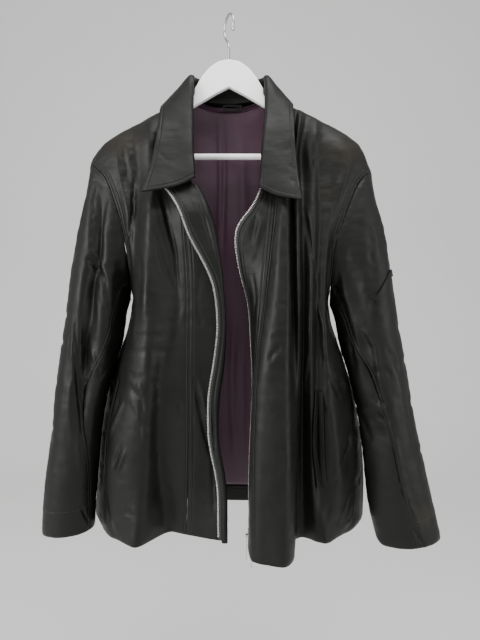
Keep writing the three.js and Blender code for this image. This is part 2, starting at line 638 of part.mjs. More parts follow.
function backSurface(sideName, side) {
  const seam = shoulderSeam[sideName];
  const centre = { rows: backCentre, topZ: backCentre[0].z, exact: true };
  const armhole = { rows: sideSeam[sideName].back, topZ: seam.at(-1).z, exact: true };
  const folds = backFolds[sideName].map((fold) => {
    const neck = backNeck.find((row) => row.x === fold.top);
    if (!neck) return foldLine(fold, seam, seamHalf);
    const line = foldLine({ ...fold, top: neckPoint.x }, seam, neck.y);
    line.rows[0] = { ...line.rows[0], x: neck.x };
    return { ...line, topZ: neck.z };
  });
  return panelSurface(side, [centre, ...folds, armhole], backRows(seam.at(-1).z, sideSeam[sideName].under));
}

// Directions of the wall's thickness at the seams that two pieces share.

const shoulderNormal = (side) => new THREE.Vector3(side * 0.43, 0, 0.9).normalize();

// turn is 0 at the shoulder's tip, 0.25 at the front of the armhole and 0.5 under the arm.
function armholeNormal(side, turn) {
  const angle = 2 * Math.PI * turn;
  const under = (1 - Math.cos(angle)) / 2;
  return new THREE.Vector3(side * 0.25 * (1 - under), -Math.sin(angle), Math.cos(angle)).normalize();
}

// Turn round the armhole at a height, on its front (1) or its back (-1).
function turnAt(sideName, z, face) {
  const rows = sideSeam[sideName].front;
  const share = (rows[0].z - z) / (rows[0].z - sideSeam[sideName].under);
  return (face * Math.acos(1 - 2 * Math.min(Math.max(share, 0), 1))) / (2 * Math.PI);
}

function panelSeam(sideName, side, surface, lastLine, firstShoulderLine, face) {
  return (u, v) => {
    const line = Math.abs(u);
    if (line >= lastLine - 0.02) {
      const { z } = surface(u, v);
      const below = Math.min((sideSeam[sideName].under - z) / underarmDepth, 1);
      if (below > 0) return new THREE.Vector3(side * below, 0, below - 1).normalize();
      return armholeNormal(side, turnAt(sideName, z, face));
    }
    return v === 0 && line >= firstShoulderLine ? shoulderNormal(side) : null;
  };
}

// The fronts.

function frontPanels(sideName, side) {
  const surface = frontSurface(sideName, side);
  const lastLine = frontFolds[sideName].length + 1;
  const options = { outward: -side, seam: panelSeam(sideName, side, surface, lastLine, 0, 1) };
  const vs = spread(0, frontRows[sideName].length - 1, frontRows[sideName].length - 1);
  const centre = spread(0, princessLine - seamStep, princessLine * stepsPerLine);
  const sidePanel = spread(princessLine + seamStep, lastLine, (lastLine - princessLine) * stepsPerLine);
  return [
    clothWall(`front_${sideName}_centre`, leatherFinish, surface, centre, vs, options),
    clothWall(`front_${sideName}_side`, leatherFinish, surface, sidePanel, vs, options),
  ];
}

// The facing of the right front: it turns round the front edge and lies on the shell as a lapel that
// narrows to a rolled edge. u runs from the zip round the roll to the edge of the shell.
function facingSurface() {
  const shell = frontSurface('right', rightSide);
  return (u, v) => {
    const edge = shell(0, v);
    const inward = shell(0.4, v).sub(edge).setZ(0).normalize();
    const out = new THREE.Vector3(inward.y, -inward.x, 0);
    if (out.y > 0) out.negate();
    const width = columnAt(lapel, 'z', 'width', edge.z);
    const roll = columnAt(lapel, 'z', 'roll', edge.z);
    const lift = columnAt(lapel, 'z', 'lift', edge.z);
    const place = (along, away) => edge.clone().addScaledVector(inward, along).addScaledVector(out, away);
    const points = [
      place(width, 2 * roll + lift), place(width * 0.45, 2 * roll + lift * 0.5), place(0.2, 2 * roll),
      place(-roll - seamGap, roll), place(-seamGap, 0),
    ];
    return new THREE.CatmullRomCurve3(points).getPoint(Math.min(Math.max(u / 4, 0), 1));
  };
}

// A zip tape stands out from the edge of a panel at u = 0, in the middle of its wall.
function zipTapeOn(name, surface, outward, vs) {
  const besideEdge = 0.06; // a u near the edge, for the wall's direction
  const insideEdge = 0.3; // a u further in, which shows on which side the panel lies
  const places = vs.map((v) => {
    const edge = surface(0, v);
    const along = surface(0, v + 0.1).sub(surface(0, v - 0.1));
    const normal = normalOf(surface, besideEdge, v).multiplyScalar(outward);
    const beyond = along.cross(normal).normalize();
    if (beyond.dot(surface(insideEdge, v).sub(edge)) > 0) beyond.negate();
    const middle = zipTape.width / 2 + zipTape.gap;
    return { point: edge.addScaledVector(beyond, middle).addScaledVector(normal, -zipTape.sunk), normal };
  });
  return strip(name, tapeFinish, places, zipTape.width, zipTape.thickness, 0);
}

// Places along a path of {u, v} rows on a surface, `steps` between each two rows.
function placesOn(surface, outward, path, steps) {
  const rows = numbered(path);
  return spread(0, path.length - 1, (path.length - 1) * steps).map((at) => {
    const u = columnAt(rows, 'number', 'u', at);
    const v = columnAt(rows, 'number', 'v', at);
    return { point: surface(u, v), normal: normalOf(surface, u, v).multiplyScalar(outward) };
  });
}

// The back, its lining and the facing of its hem.

function backPieces() {
  const right = backSurface('right', rightSide);
  const left = backSurface('left', leftSide);
  const surface = (u, v) => (u < 0 ? right(-u, v) : left(u, v));
  const lastLine = backFolds.left.length + 1;
  const lastRow = backRows(0, 0).length - 1;
  const rightSeam = panelSeam('right', rightSide, right, lastLine, 2, -1);
  const leftSeam = panelSeam('left', leftSide, left, lastLine, 2, -1);
  const seam = (u, v) => (u < 0 ? rightSeam(-u, v) : leftSeam(u, v));
  const liningRows = [1.4, ...spread(2, lastRow - 1, lastRow - 3), lastRow - 0.42];
  const facingRows = [lastRow - 0.38, lastRow - 0.2, lastRow - 0.03];
  return [
    clothWall('back', leatherFinish, surface, spread(-lastLine, lastLine, 2 * lastLine * stepsPerLine),
      spread(0, lastRow, lastRow), { seam }),
    clothWall('back_lining', liningFinish, surface, spread(-liningLine, liningLine, 3 * liningLine), liningRows,
      { thickness: liningCloth, lift: -leather - liningBehind }),
    clothWall('back_hem_facing', leatherFinish, surface, spread(-liningLine, liningLine, 4 * liningLine),
      facingRows, { lift: -leather - facingBehind }),
  ];
}

// The sleeves. turn runs round a sleeve: 0 outside, 0.25 in front, 0.5 inside, 0.75 behind. ring counts
// the rows of its table from armhole to cuff.

function sleeveSurface(sideName, side) {
  const { front, back, under } = sideSeam[sideName];
  const rings = numbered(sleeves[sideName].rings);
  const tip = front[0].z;
  return (turn, ring) => {
    const at = (column) => columnAt(rings, 'number', column, ring);
    const angle = 2 * Math.PI * turn;
    const across = (1 - Math.cos(angle)) / 2;
    const middleY = (at('front') + at('back')) / 2;
    const halfDepth = (at('back') - at('front')) / 2;
    const x = at('outerX') + (at('innerX') - at('outerX')) * across + underarmGap * across ** 3;
    const z = at('outerZ') + (at('innerZ') - at('outerZ')) * across;
    const point = new THREE.Vector3(x, middleY - halfDepth * Math.sin(angle), z);
    const hold = Math.max(0, 1 - ring / armholeHold) ** 1.5;
    if (hold > 0) {
      const seamZ = tip + (under - tip) * across;
      const seam = Math.sin(angle) >= 0 ? front : back;
      const first = rings[0];
      const plainX = first.outerX + (first.innerX - first.outerX) * across;
      const plainY = (first.front + first.back) / 2 - ((first.back - first.front) / 2) * Math.sin(angle);
      point.x += hold * (columnAt(seam, 'z', 'x', seamZ) - plainX);
      point.y += hold * (columnAt(seam, 'z', 'y', seamZ) - plainY);
    }
    const middleX = (at('outerX') + at('innerX')) / 2;
    const middleZ = (at('outerZ') + at('innerZ')) / 2;
    const middle = new THREE.Vector3(middleX, middleY, middleZ);
    const out = point.clone().sub(middle).normalize();
    point.addScaledVector(out, sleeveFoldHeight(sleeves[sideName].folds, turn, ring));
    point.x *= side;
    return point;
  };
}

// How far the folds of a sleeve raise (+) or sink (-) its surface at a place.
function sleeveFoldHeight(folds, turn, ring) {
  let height = 0;
  for (const fold of folds) {
    const first = fold.path[0].ring;
    const last = fold.path.at(-1).ring;
    if (ring > first && ring < last) {
      const centre = columnAt(fold.path, 'ring', 'turn', ring);
      const apart = turn - centre - Math.round(turn - centre);
      const fade = Math.sin((Math.PI * (ring - first)) / (last - first)) ** 0.7;
      height += fold.height * fade * Math.exp(-((apart / fold.halfTurn) ** 2));
    }
  }
  return height;
}

function sleevePieces(sideName, side) {
  const surface = sleeveSurface(sideName, side);
  const rings = numbered(sleeves[sideName].rings);
  const tip = sideSeam[sideName].front[0].z;
  const frontTurns = frontRows[sideName].map((row) => turnAt(sideName, row.side, 1));
  const backTurns = backRows(tip, sideSeam[sideName].under).map((row) => turnAt(sideName, row.side, -1));
  const frontArmhole = frontTurns.slice(0, frontTurns.indexOf(0.5) + 1);
  const backArmhole = backTurns.slice(0, backTurns.indexOf(-0.5) + 1);
  const frontStart = frontArmhole[sleeveSeams.frontRow];
  const backTurn = backArmhole[sleeveSeams.backRow];
  const frontTurn = (ring) => {
    const share = Math.min(ring / 2, 1);
    return frontStart + (columnAt(rings, 'number', 'seam', ring) - frontStart) * share;
  };
  const part = (name, stations, from, to) => {
    const first = stations[0];
    const us = stations.map((turn) => (turn - first) / (stations.at(-1) - first));
    const at = (u, v) => from(v) + (to(v) - from(v)) * u;
    const seam = (u, v) => (v === armholeStart ? armholeNormal(side, at(u, v)) : null);
    const last = rings.length - 1;
    const vs = [armholeStart, 0.5, ...spread(1, last, sleeveSteps)];
    return clothWall(name, leatherFinish, (u, v) => surface(at(u, v), v), us, vs, { outward: side, seam });
  };
  const top = [
    ...backArmhole.slice(1, sleeveSeams.backRow + 1).reverse(),
    ...frontArmhole.slice(0, sleeveSeams.frontRow + 1),
  ];
  const under = [
    ...frontArmhole.slice(sleeveSeams.frontRow),
    ...backArmhole.slice(sleeveSeams.backRow, -1).reverse().map((turn) => turn + 1),
  ];
  return [
    part(`sleeve_${sideName}_top`, top, () => backTurn + seamAngle, (v) => frontTurn(v) - seamAngle),
    part(`sleeve_${sideName}_under`, under, (v) => frontTurn(v) + seamAngle, () => backTurn + 1 - seamAngle),
  ];
}

// The collar, one wall from the neck seam up the stand, over the fold and down the fall. v counts the
// stations from the back of the neck: to the right front below 0, to the left front above it.
function collarSurface() {
  const tables = { right: numbered(collar.right), left: numbered(collar.left) };
  return (u, v) => {
    const side = v < 0 ? rightSide : leftSide;
    const rows = v < 0 ? tables.right : tables.left;
    const at = (name) => new THREE.Vector3(
      side * columnAt(rows, 'number', `${name}X`, Math.abs(v)),
      columnAt(rows, 'number', `${name}Y`, Math.abs(v)),
      columnAt(rows, 'number', `${name}Z`, Math.abs(v)),
    );
    const seam = at('seam');
    const crest = at('crest');
    const edge = at('edge');
    const sag = columnAt(rows, 'number', 'sag', Math.abs(v));
    const up = crest.clone().sub(seam.clone().lerp(edge, 0.5)).normalize();
    const over = edge.clone().sub(seam);
    over.addScaledVector(up, -over.dot(up)).normalize();
    const beforeFold = crest.clone().addScaledVector(over, -collarRoll).addScaledVector(up, -collarRoll);
    const afterFold = crest.clone().addScaledVector(over, collarRoll).addScaledVector(up, -collarRoll);
    const points = [
      seam, seam.clone().lerp(beforeFold, 0.5), beforeFold, crest, afterFold,
      afterFold.clone().lerp(edge, 0.33).add(new THREE.Vector3(0, 0, -sag)),
      afterFold.clone().lerp(edge, 0.68).add(new THREE.Vector3(0, 0, -sag * 0.6)), edge,
    ];
    return new THREE.CatmullRomCurve3(points).getPoint(Math.min(Math.max(u, 0), 1));
  };
}

function collarPiece() {
  const us = [0, 0.14, 0.26, 0.34, 0.42, 0.5, 0.58, 0.68, 0.79, 0.9, 1];
  return clothWall('collar', leatherFinish, collarSurface(), us, spread(-6, 6, 28));
}

// Small pieces on the panels.

function facingPiece() {
  const lastRow = frontRows.right.length - 1;
  return clothWall('front_right_facing', leatherFinish, facingSurface(), spread(0, 4, 8),
    [7.7, ...spread(8, lastRow, lastRow - 8)]);
}

// Each welt: the piece it lies on, its width, its thickness, how far it stands off, and its path.
const welts = [
  {
    name: 'pocket_right_welt', on: 'front_right', width: 9, thickness: 2, lift: 0.8,
    path: [
      { u: 6.3, v: 17.3 }, { u: 6.75, v: 18.5 }, { u: 7, v: 19.8 },
      { u: 6.8, v: 20.6 }, { u: 6.3, v: 21.4 },
    ],
  },
  {
    name: 'pocket_left_front_welt', on: 'front_left', width: 8, thickness: 2, lift: 2,
    path: [{ u: 8.7, v: 17.7 }, { u: 8.2, v: 19.8 }, { u: 8.7, v: 21.8 }],
  },
  {
    name: 'pocket_left_back_welt', on: 'front_left', width: 8, thickness: 2, lift: 2,
    path: [{ u: 9.35, v: 17.7 }, { u: 9.35, v: 19.8 }, { u: 9.35, v: 21.8 }],
  },
  {
    name: 'sleeve_pocket_welt', on: 'sleeve_left', width: 9, thickness: 2.5, lift: 1.2,
    path: [{ u: 0.02, v: 4.75 }, { u: 0.064, v: 4.6 }, { u: 0.205, v: 4.43 }, { u: 0.237, v: 4 }],
  },
];

function weltPieces() {
  const surfaces = {
    front_right: { surface: frontSurface('right', rightSide), outward: 1 },
    front_left: { surface: frontSurface('left', leftSide), outward: -1 },
    sleeve_left: { surface: sleeveSurface('left', leftSide), outward: 1 },
  };
  return welts.map(({ name, on, path, width, thickness, lift }) => {
    const { surface, outward } = surfaces[on];
    return strip(name, leatherFinish, placesOn(surface, outward, path, 4), width, thickness, lift);
  });
}

// Parts made by joining and cutting plain bodies.

const wasm = await Module();
wasm.setup();

function body(geometry) {
  geometry.deleteAttribute('normal');
  geometry.deleteAttribute('uv');
  const merged = mergeVertices(geometry, 1e-4);
  return new wasm.Manifold(new wasm.Mesh({
    numProp: 3,
    vertProperties: Float32Array.from(merged.attributes.position.array),
    triVerts: Uint32Array.from(merged.index.array),
  }));
}

function meshOf(name, finish, manifold) {
  const { vertProperties, triVerts } = manifold.getMesh();
  const geometry = new THREE.BufferGeometry();
  geometry.setAttribute('position', new THREE.BufferAttribute(vertProperties, 3));
  geometry.setIndex(new THREE.BufferAttribute(triVerts, 1));
  geometry.computeVertexNormals();
  const mesh = new THREE.Mesh(geometry, finish);
  mesh.name = name;
  return mesh;
}

const block = (size, centre) => body(new THREE.BoxGeometry(...size).translate(...centre));

// A cylinder along X, Y or Z about a centre.
function rod(axis, radius, length, centre, sides) {
  const geometry = new THREE.CylinderGeometry(radius, radius, length, sides);
  if (axis === 'x') geometry.rotateZ(Math.PI / 2);
  if (axis === 'z') geometry.rotateX(Math.PI / 2);
  return body(geometry.translate(...centre));
}

// The zip: two tapes along the front edges, and two sliders at the foot of the left one, each with a
// pull that swings on a pin.

function tapePieces() {
  const facing = facingSurface();
  const left = frontSurface('left', leftSide);
  const lastRow = frontRows.left.length - 1;
  return [
    zipTapeOn('zip_tape_right', facing, 1, [7.85, ...spread(8, lastRow - 0.1, lastRow - 8)]),
    zipTapeOn('zip_tape_left', left, -1, [7.7, ...spread(8, lastRow - 0.6, lastRow - 8)]),
  ];
}

// `face` is the sign of X of the slider's side that its pull hangs on.
function sliderPieces(name, z, face) {
  const pinX = slider.x + face * (slider.depth / 2 + pull.barrel + 0.3);
  const pinZ = z - slider.height / 2 + pull.barrel;
  const earX = (slider.x + pinX + face) / 2;
  const earSize = [Math.abs(pinX + face - slider.x), slider.ear, 2 * pull.pin + 1.4];
  const earY = pull.neck / 2 + 0.3 + slider.ear / 2;
  const ear = (sign) => block(earSize, [earX, slider.y + sign * earY, pinZ]);
  const pin = rod('y', pull.pin, 2 * earY, [pinX, slider.y, pinZ], 12);
  const shell = block([slider.depth, slider.width, slider.height], [slider.x, slider.y, z]);
  const plateTop = pinZ - pull.barrel - 1.5;
  const plate = block(
    [pull.thickness, pull.width, pull.length],
    [pinX, slider.y, plateTop - pull.length / 2],
  );
  const neck = block([pull.thickness, pull.neck, 4], [pinX, slider.y, pinZ - 2.6]);
  const barrel = rod('y', pull.barrel, pull.neck, [pinX, slider.y, pinZ], 16);
  const eye = rod('y', pull.eye, pull.neck + 2, [pinX, slider.y, pinZ], 16);
  return [
    meshOf(`zip_slider_${name}`, nickelFinish, shell.add(ear(1)).add(ear(-1)).add(pin)),
    meshOf(`zip_pull_${name}`, nickelFinish, barrel.add(neck).subtract(eye).add(plate)),
  ];
}

// The loop inside the back of the neck.
function loopPiece() {
  const { width, height, border, thickness, x, y, z } = neckLoop;
  const frame = block([width, thickness, height], [x, y, z]);
  const opening = block([width - 2 * border, thickness + 2, height - 2 * border], [x, y, z]);
  return meshOf('neck_loop', leatherFinish, frame.subtract(opening));
}

// The hanger. Half the outline of its wood, from the middle of its underside round the tip to its top.
const woodOutline = [
  { x: 0, z: -118 }, { x: 22, z: -129 }, { x: 178, z: -217 }, { x: 196, z: -243 }, { x: 208, z: -249 },
  { x: 218, z: -247 }, { x: 222, z: -239 }, { x: 221, z: -227 }, { x: 214, z: -217 }, { x: 201, z: -208 },
  { x: 172, z: -192 }, { x: 117, z: -164 }, { x: 76, z: -141.5 }, { x: 69, z: -139 }, { x: 62, z: -135.5 },
  { x: 59, z: -129 }, { x: 58.5, z: -120 }, { x: 45, z: -99 }, { x: 33, z: -85.5 }, { x: 18, z: -75.5 },
  { x: 0, z: -72 },
];

// The hook's wire, in its own plane: s is the distance from the shank.
const hookPath = [
  { s: 0, z: -71.7 }, { s: 0, z: -58 }, { s: -1, z: -48 }, { s: -7, z: -39 }, { s: -15, z: -30 },
  { s: -19, z: -17 }, { s: -14, z: -4.5 }, { s: 0, z: 2 }, { s: 14, z: -4.5 }, { s: 19, z: -17 },
  { s: 17, z: -29 },
];

function hangerPieces() {
  const { thickness, bevel } = hangerWood;
  const half = woodOutline.map(({ x, z }) => new THREE.Vector2(x, z));
  const mirrored = half.slice(1, -1).reverse().map(({ x, y }) => new THREE.Vector2(-x, y));
  const shape = new THREE.Shape([...half, ...mirrored]);
  const wood = new THREE.ExtrudeGeometry(shape, {
    depth: thickness - 2 * bevel,
    bevelSize: bevel, bevelThickness: bevel, bevelOffset: -bevel, bevelSegments: 2,
  });
  wood.translate(0, 0, bevel - thickness / 2).rotateX(Math.PI / 2);
  const { radius, tenon, shoulder, reach, play, z } = bar;
  const hole = rod('x', tenon + play, 2 * (reach + play), [0, 0, z], 20);
  const barBody = rod('x', radius, 2 * shoulder, [0, 0, z], 24).add(rod('x', tenon, 2 * reach, [0, 0, z], 20));
  return [
    meshOf('hanger_arms', paintFinish, body(wood).subtract(hole)),
    meshOf('hanger_bar', paintFinish, barBody),
    hookPiece(),
  ];
}

function hookPiece() {
  const angle = THREE.MathUtils.degToRad(hook.turn);
  const along = new THREE.Vector3(Math.cos(angle), -Math.sin(angle), 0);
  const acrossPlane = new THREE.Vector3(Math.sin(angle), Math.cos(angle), 0);
  const points = hookPath.map(({ s, z }) => along.clone().multiplyScalar(s).setZ(z));
  const curve = new THREE.CatmullRomCurve3(points);
  const vertices = [];
  const triangles = [];
  for (let i = 0; i <= hook.steps; i += 1) {
    const centre = curve.getPoint(i / hook.steps);
    const inPlane = curve.getTangent(i / hook.steps).cross(acrossPlane).normalize();
    for (let k = 0; k < hook.sides; k += 1) {
      const turn = (2 * Math.PI * k) / hook.sides;
      const next = (k + 1) % hook.sides;
      const corner = centre.clone().addScaledVector(inPlane, hook.wire * Math.cos(turn));
      vertices.push(corner.addScaledVector(acrossPlane, hook.wire * Math.sin(turn)));
      if (i > 0) {
        const [a, b] = [(i - 1) * hook.sides, i * hook.sides];
        triangles.push([a + k, a + next, b + next], [a + k, b + next, b + k]);
      }
    }
  }
  const end = hook.steps * hook.sides;
  for (let k = 1; k + 1 < hook.sides; k += 1) {
    triangles.push([0, k + 1, k], [end, end + k, end + k + 1]);
  }
  const wire = body(solid('wire', steelFinish, vertices, triangles).geometry);
  const ball = body(new THREE.SphereGeometry(hook.ball, 12, 8).translate(...points.at(-1).toArray()));
  return meshOf('hanger_hook', steelFinish, wire.add(ball));
}

const jacket = new THREE.Group();
jacket.add(...frontPanels('right', rightSide), facingPiece(), ...frontPanels('left', leftSide));
jacket.add(...backPieces(), ...sleevePieces('right', rightSide), ...sleevePieces('left', leftSide));
jacket.add(collarPiece(), ...weltPieces(), loopPiece(), ...tapePieces());
jacket.add(...sliderPieces('upper', -874, -1), ...sliderPieces('lower', -888, 1), ...hangerPieces());

export default jacket;
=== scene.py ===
import math

import bmesh
import bpy
from mathutils import Matrix, Vector, noise
from mathutils.bvhtree import BVHTree
from mathutils.kdtree import KDTree


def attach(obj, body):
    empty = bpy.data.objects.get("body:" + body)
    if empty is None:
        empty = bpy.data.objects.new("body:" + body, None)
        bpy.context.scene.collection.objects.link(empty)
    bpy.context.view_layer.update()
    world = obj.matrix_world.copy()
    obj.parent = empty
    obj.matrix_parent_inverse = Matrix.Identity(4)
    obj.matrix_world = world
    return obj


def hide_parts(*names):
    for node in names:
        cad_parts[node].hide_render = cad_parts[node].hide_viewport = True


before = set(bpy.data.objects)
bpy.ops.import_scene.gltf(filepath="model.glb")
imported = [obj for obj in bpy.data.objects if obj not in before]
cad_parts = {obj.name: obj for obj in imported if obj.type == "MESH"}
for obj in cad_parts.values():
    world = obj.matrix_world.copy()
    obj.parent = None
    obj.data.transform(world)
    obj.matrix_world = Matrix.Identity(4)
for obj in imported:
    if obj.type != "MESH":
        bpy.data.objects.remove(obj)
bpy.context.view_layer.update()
mm = 0.001
print("frame loaded")


# Materials

def linearColour(hexValue):
    channels = [(hexValue >> shift & 255) / 255 for shift in (16, 8, 0)]
    return tuple(c / 12.92 if c <= 0.04045 else ((c + 0.055) / 1.055) ** 2.4 for c in channels) + (1.0,)


def addNode(tree, kind, inputs=(), **settings):
    node = tree.nodes.new(kind)
    for name, value in settings.items():
        setattr(node, name, value)
    for socket, value in dict(inputs).items():
        if isinstance(value, bpy.types.NodeSocket):
            tree.links.new(value, node.inputs[socket])
        else:
            node.inputs[socket].default_value = value
    return node


def newMaterial(name, **sockets):
    material = bpy.data.materials.new(name)
    material.use_nodes = True
    shader = material.node_tree.nodes["Principled BSDF"]
    for socket, value in sockets.items():
        shader.inputs[socket.replace("_", " ")].default_value = value
    return material, material.node_tree, shader


def noiseTone(tree, place, scale, detail):
    tone = addNode(tree, "ShaderNodeTexNoise", {"Vector": place, "Scale": scale, "Detail": detail})
    return tone.outputs["Fac"]


def mixedColour(tree, factor, first, second):
    # each colour is a hex value or the colour that another node gives
    first, second = [linearColour(c) if isinstance(c, int) else c for c in (first, second)]
    mix = addNode(tree, "ShaderNodeMix", {"Factor": factor, 6: first, 7: second}, data_type="RGBA")
    return mix.outputs[2]


leather = {
    "black": 0x0c0c0b, "grey": 0x141412, "worn": 0x241e16, "roughness": (0.4, 0.56), "specular": 0.18,
    # in mm: width of a grain cell and of a milling crease before it is stretched, half that of a groove
    "grain": 1.5, "crease": 16, "groove": 2.4,
    # where the black has rubbed thin: centre in mm, radius in mm, strength
    "wear": [
        (-178, -20, -212, 46, 0.7), (196, -20, -228, 52, 0.75),
        (338, -55, -852, 26, 1.0), (161, -50, -301, 15, 0.8),
    ],
}


def anilineNappa(name, wear):
    # Aniline-dyed cow nappa, drum milled: near black, its soft shine broken up by grain and milling creases.
    material, tree, shader = newMaterial(name, IOR=1.5, Specular_IOR_Level=leather["specular"])
    place = addNode(tree, "ShaderNodeTexCoord").outputs["Object"]
    blotch = noiseTone(tree, place, 22.0, 4.0)
    colour = mixedColour(tree, blotch, leather["black"], leather["grey"])
    for x, y, z, radius, strength in wear:
        centre = (x * mm, y * mm, z * mm)
        away = addNode(tree, "ShaderNodeVectorMath", {0: place, 1: centre}, operation="DISTANCE")
        ragged = addNode(tree, "ShaderNodeMath", {0: blotch, 1: radius * mm, 2: away.outputs["Value"]},
                         operation="MULTIPLY_ADD")
        patch = addNode(tree, "ShaderNodeMapRange", {
            "Value": ragged.outputs[0], "From Min": 0.4 * radius * mm, "From Max": 1.5 * radius * mm,
            "To Min": strength, "To Max": 0.0,
        })
        colour = mixedColour(tree, patch.outputs[0], colour, leather["worn"])
    tree.links.new(colour, shader.inputs["Base Color"])
    low, high = leather["roughness"]
    shine = addNode(tree, "ShaderNodeMapRange", {
        "Value": blotch, "From Min": 0.35, "From Max": 0.7, "To Min": low, "To Max": high,
    })
    tree.links.new(shine.outputs[0], shader.inputs["Roughness"])
    # grain cells of 0.5 mm are drawn at 1.5 mm, which is as fine as shows
    cells = addNode(tree, "ShaderNodeTexVoronoi", {"Vector": place, "Scale": 1000 / leather["grain"]},
                    feature="DISTANCE_TO_EDGE").outputs["Distance"]
    grain = addNode(tree, "ShaderNodeBump", {"Height": cells, "Strength": 0.1, "Distance": 0.0004})
    flat = addNode(tree, "ShaderNodeMapping", {"Vector": place, "Scale": (0.45, 0.45, 1.9)}).outputs[0]
    milled = addNode(tree, "ShaderNodeTexNoise", {
        "Vector": flat, "Scale": 1000 / leather["crease"], "Detail": 5.0,
        "Roughness": 0.62, "Distortion": 0.6,
    }).outputs["Fac"]
    milling = addNode(tree, "ShaderNodeBump", {
        "Height": milled, "Strength": 0.3, "Distance": 0.0016, "Normal": grain.outputs[0],
    })
    # a stitched line pulls the leather down, drawn wider and deeper than real so that it shows
    stitched = addNode(tree, "ShaderNodeAttribute", attribute_name="stitchAway").outputs["Fac"]
    dip = addNode(tree, "ShaderNodeMapRange", {
        "Value": stitched, "From Min": 0.0, "From Max": leather["groove"] * mm,
    }, interpolation_type="SMOOTHSTEP").outputs[0]
    groove = addNode(tree, "ShaderNodeBump", {
        "Height": dip, "Strength": 0.7, "Distance": 0.0009, "Normal": milling.outputs[0],
    })
    tree.links.new(groove.outputs[0], shader.inputs["Normal"])
    return material


def viscoseTwill():
    # Woven viscose lining with a steep twill: plum, with a soft satin sheen.
    material, tree, shader = newMaterial("viscoseTwillLining", Roughness=0.46, Sheen_Weight=0.28,
                                         Sheen_Roughness=0.4, Sheen_Tint=linearColour(0x8f6a80))
    place = addNode(tree, "ShaderNodeTexCoord").outputs["Object"]
    tone = noiseTone(tree, place, 9.0, 3.0)
    tree.links.new(mixedColour(tree, tone, 0x3e2435, 0x4b2d3f), shader.inputs["Base Color"])
    # the ribs, 0.4 mm apart in such a twill, are drawn far coarser: at this scale a wave repeats every 10 mm
    ribScale = 31.25
    slope = (0.0, math.radians(58), 0.0)
    slant = addNode(tree, "ShaderNodeMapping", {"Vector": place, "Rotation": slope}).outputs[0]
    ribs = addNode(tree, "ShaderNodeTexWave", {"Vector": slant, "Scale": ribScale, "Distortion": 0.4})
    bump = addNode(tree, "ShaderNodeBump", {
        "Height": ribs.outputs["Fac"], "Strength": 0.12, "Distance": 0.0003,
    })
    tree.links.new(bump.outputs[0], shader.inputs["Normal"])
    return material


def noisyFinish(name, dark, light, scale, rough, bumpDepth=0.0, **sockets):
    material, tree, shader = newMaterial(name, **sockets)
    place = addNode(tree, "ShaderNodeTexCoord").outputs["Object"]
    tone = noiseTone(tree, place, scale, 4.0)
    tree.links.new(mixedColour(tree, tone, dark, light), shader.inputs["Base Color"])
    shine = addNode(tree, "ShaderNodeMapRange", {"Value": tone, "To Min": rough[0], "To Max": rough[1]})
    tree.links.new(shine.outputs[0], shader.inputs["Roughness"])
    if bumpDepth:
        bump = addNode(tree, "ShaderNodeBump", {"Height": tone, "Strength": 0.3, "Distance": bumpDepth})
        tree.links.new(bump.outputs[0], shader.inputs["Normal"])
    return material


nappa = anilineNappa("anilineNappaLeather", leather["wear"])
lining = viscoseTwill()
# Waxed polyester sewing thread: black with a slight gloss, so each stitch catches a point of light.
thread = noisyFinish("polyesterThread", 0x151515, 0x2a2a29, 900, (0.4, 0.6))
# Woven polyester zip tape: matt black, its weave drawn as a fine unevenness.
tape = noisyFinish("polyesterZipTape", 0x121316, 0x1d1e21, 1200, (0.7, 0.9), 0.0003)
# Die-cast zinc, nickel plated and tumbled: warm silver with a soft polish.
nickel = noisyFinish("nickelPlatedZinc", 0xb4b2ab, 0xc9c7c0, 180, (0.2, 0.34), Metallic=1.0)
# Beech painted in white lacquer by dipping: even, half glossy, slightly orange-peeled.
lacquer = noisyFinish("lacqueredBeech", 0xf8f8f6, 0xfdfdfc, 60, (0.28, 0.4), 0.0004, Coat_Weight=0.4,
                      Coat_Roughness=0.2)
# Drawn steel wire, nickel plated: bright, and faintly uneven.
wire = noisyFinish("platedSteelWire", 0xa9abab, 0xc4c6c6, 240, (0.16, 0.3), Metallic=1.0)
print("materials made")


# Cloth

def linked(mesh, name, *materials):
    for material in materials:
        mesh.materials.append(material)
    piece = bpy.data.objects.new(name, mesh)
    bpy.context.scene.collection.objects.link(piece)
    return piece


def applied(piece):
    # the piece with its modifiers made part of its mesh
    bpy.context.view_layer.update()
    made = bpy.data.meshes.new_from_object(piece.evaluated_get(bpy.context.evaluated_depsgraph_get()))
    piece.modifiers.clear()
    piece.data = made
    return piece


def meshFrom(bm, name):
    mesh = bpy.data.meshes.new(name)
    bm.to_mesh(mesh)
    bm.free()
    return mesh


def shadeSmooth(mesh):
    mesh.polygons.foreach_set("use_smooth", [True] * len(mesh.polygons))


def regionsOf(bm):
    left = set(bm.faces)
    regions = []
    while left:
        region, front = set(), [left.pop()]
        while front:
            face = front.pop()
            region.add(face)
            for edge in face.edges:
                for other in edge.link_faces:
                    if other in left:
                        left.discard(other)
                        front.append(other)
        regions.append(region)
    return regions


sheetLook = {
    # points closer than this many metres are one
    "weld": 1e-5,
    # a rim edge is as long as the wall is thick, within this many mm,
    # and the dot product of the normals at its ends is less than this
    "rimSlack": 0.02, "rimTurn": 0.8,
    "joinAngle": math.radians(60),
    # how often, and by what share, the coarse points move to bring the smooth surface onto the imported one
    "passes": 6, "share": 0.9,
    # subdivisions while the points settle, and in the end
    "settling": 2, "levels": 3,
}


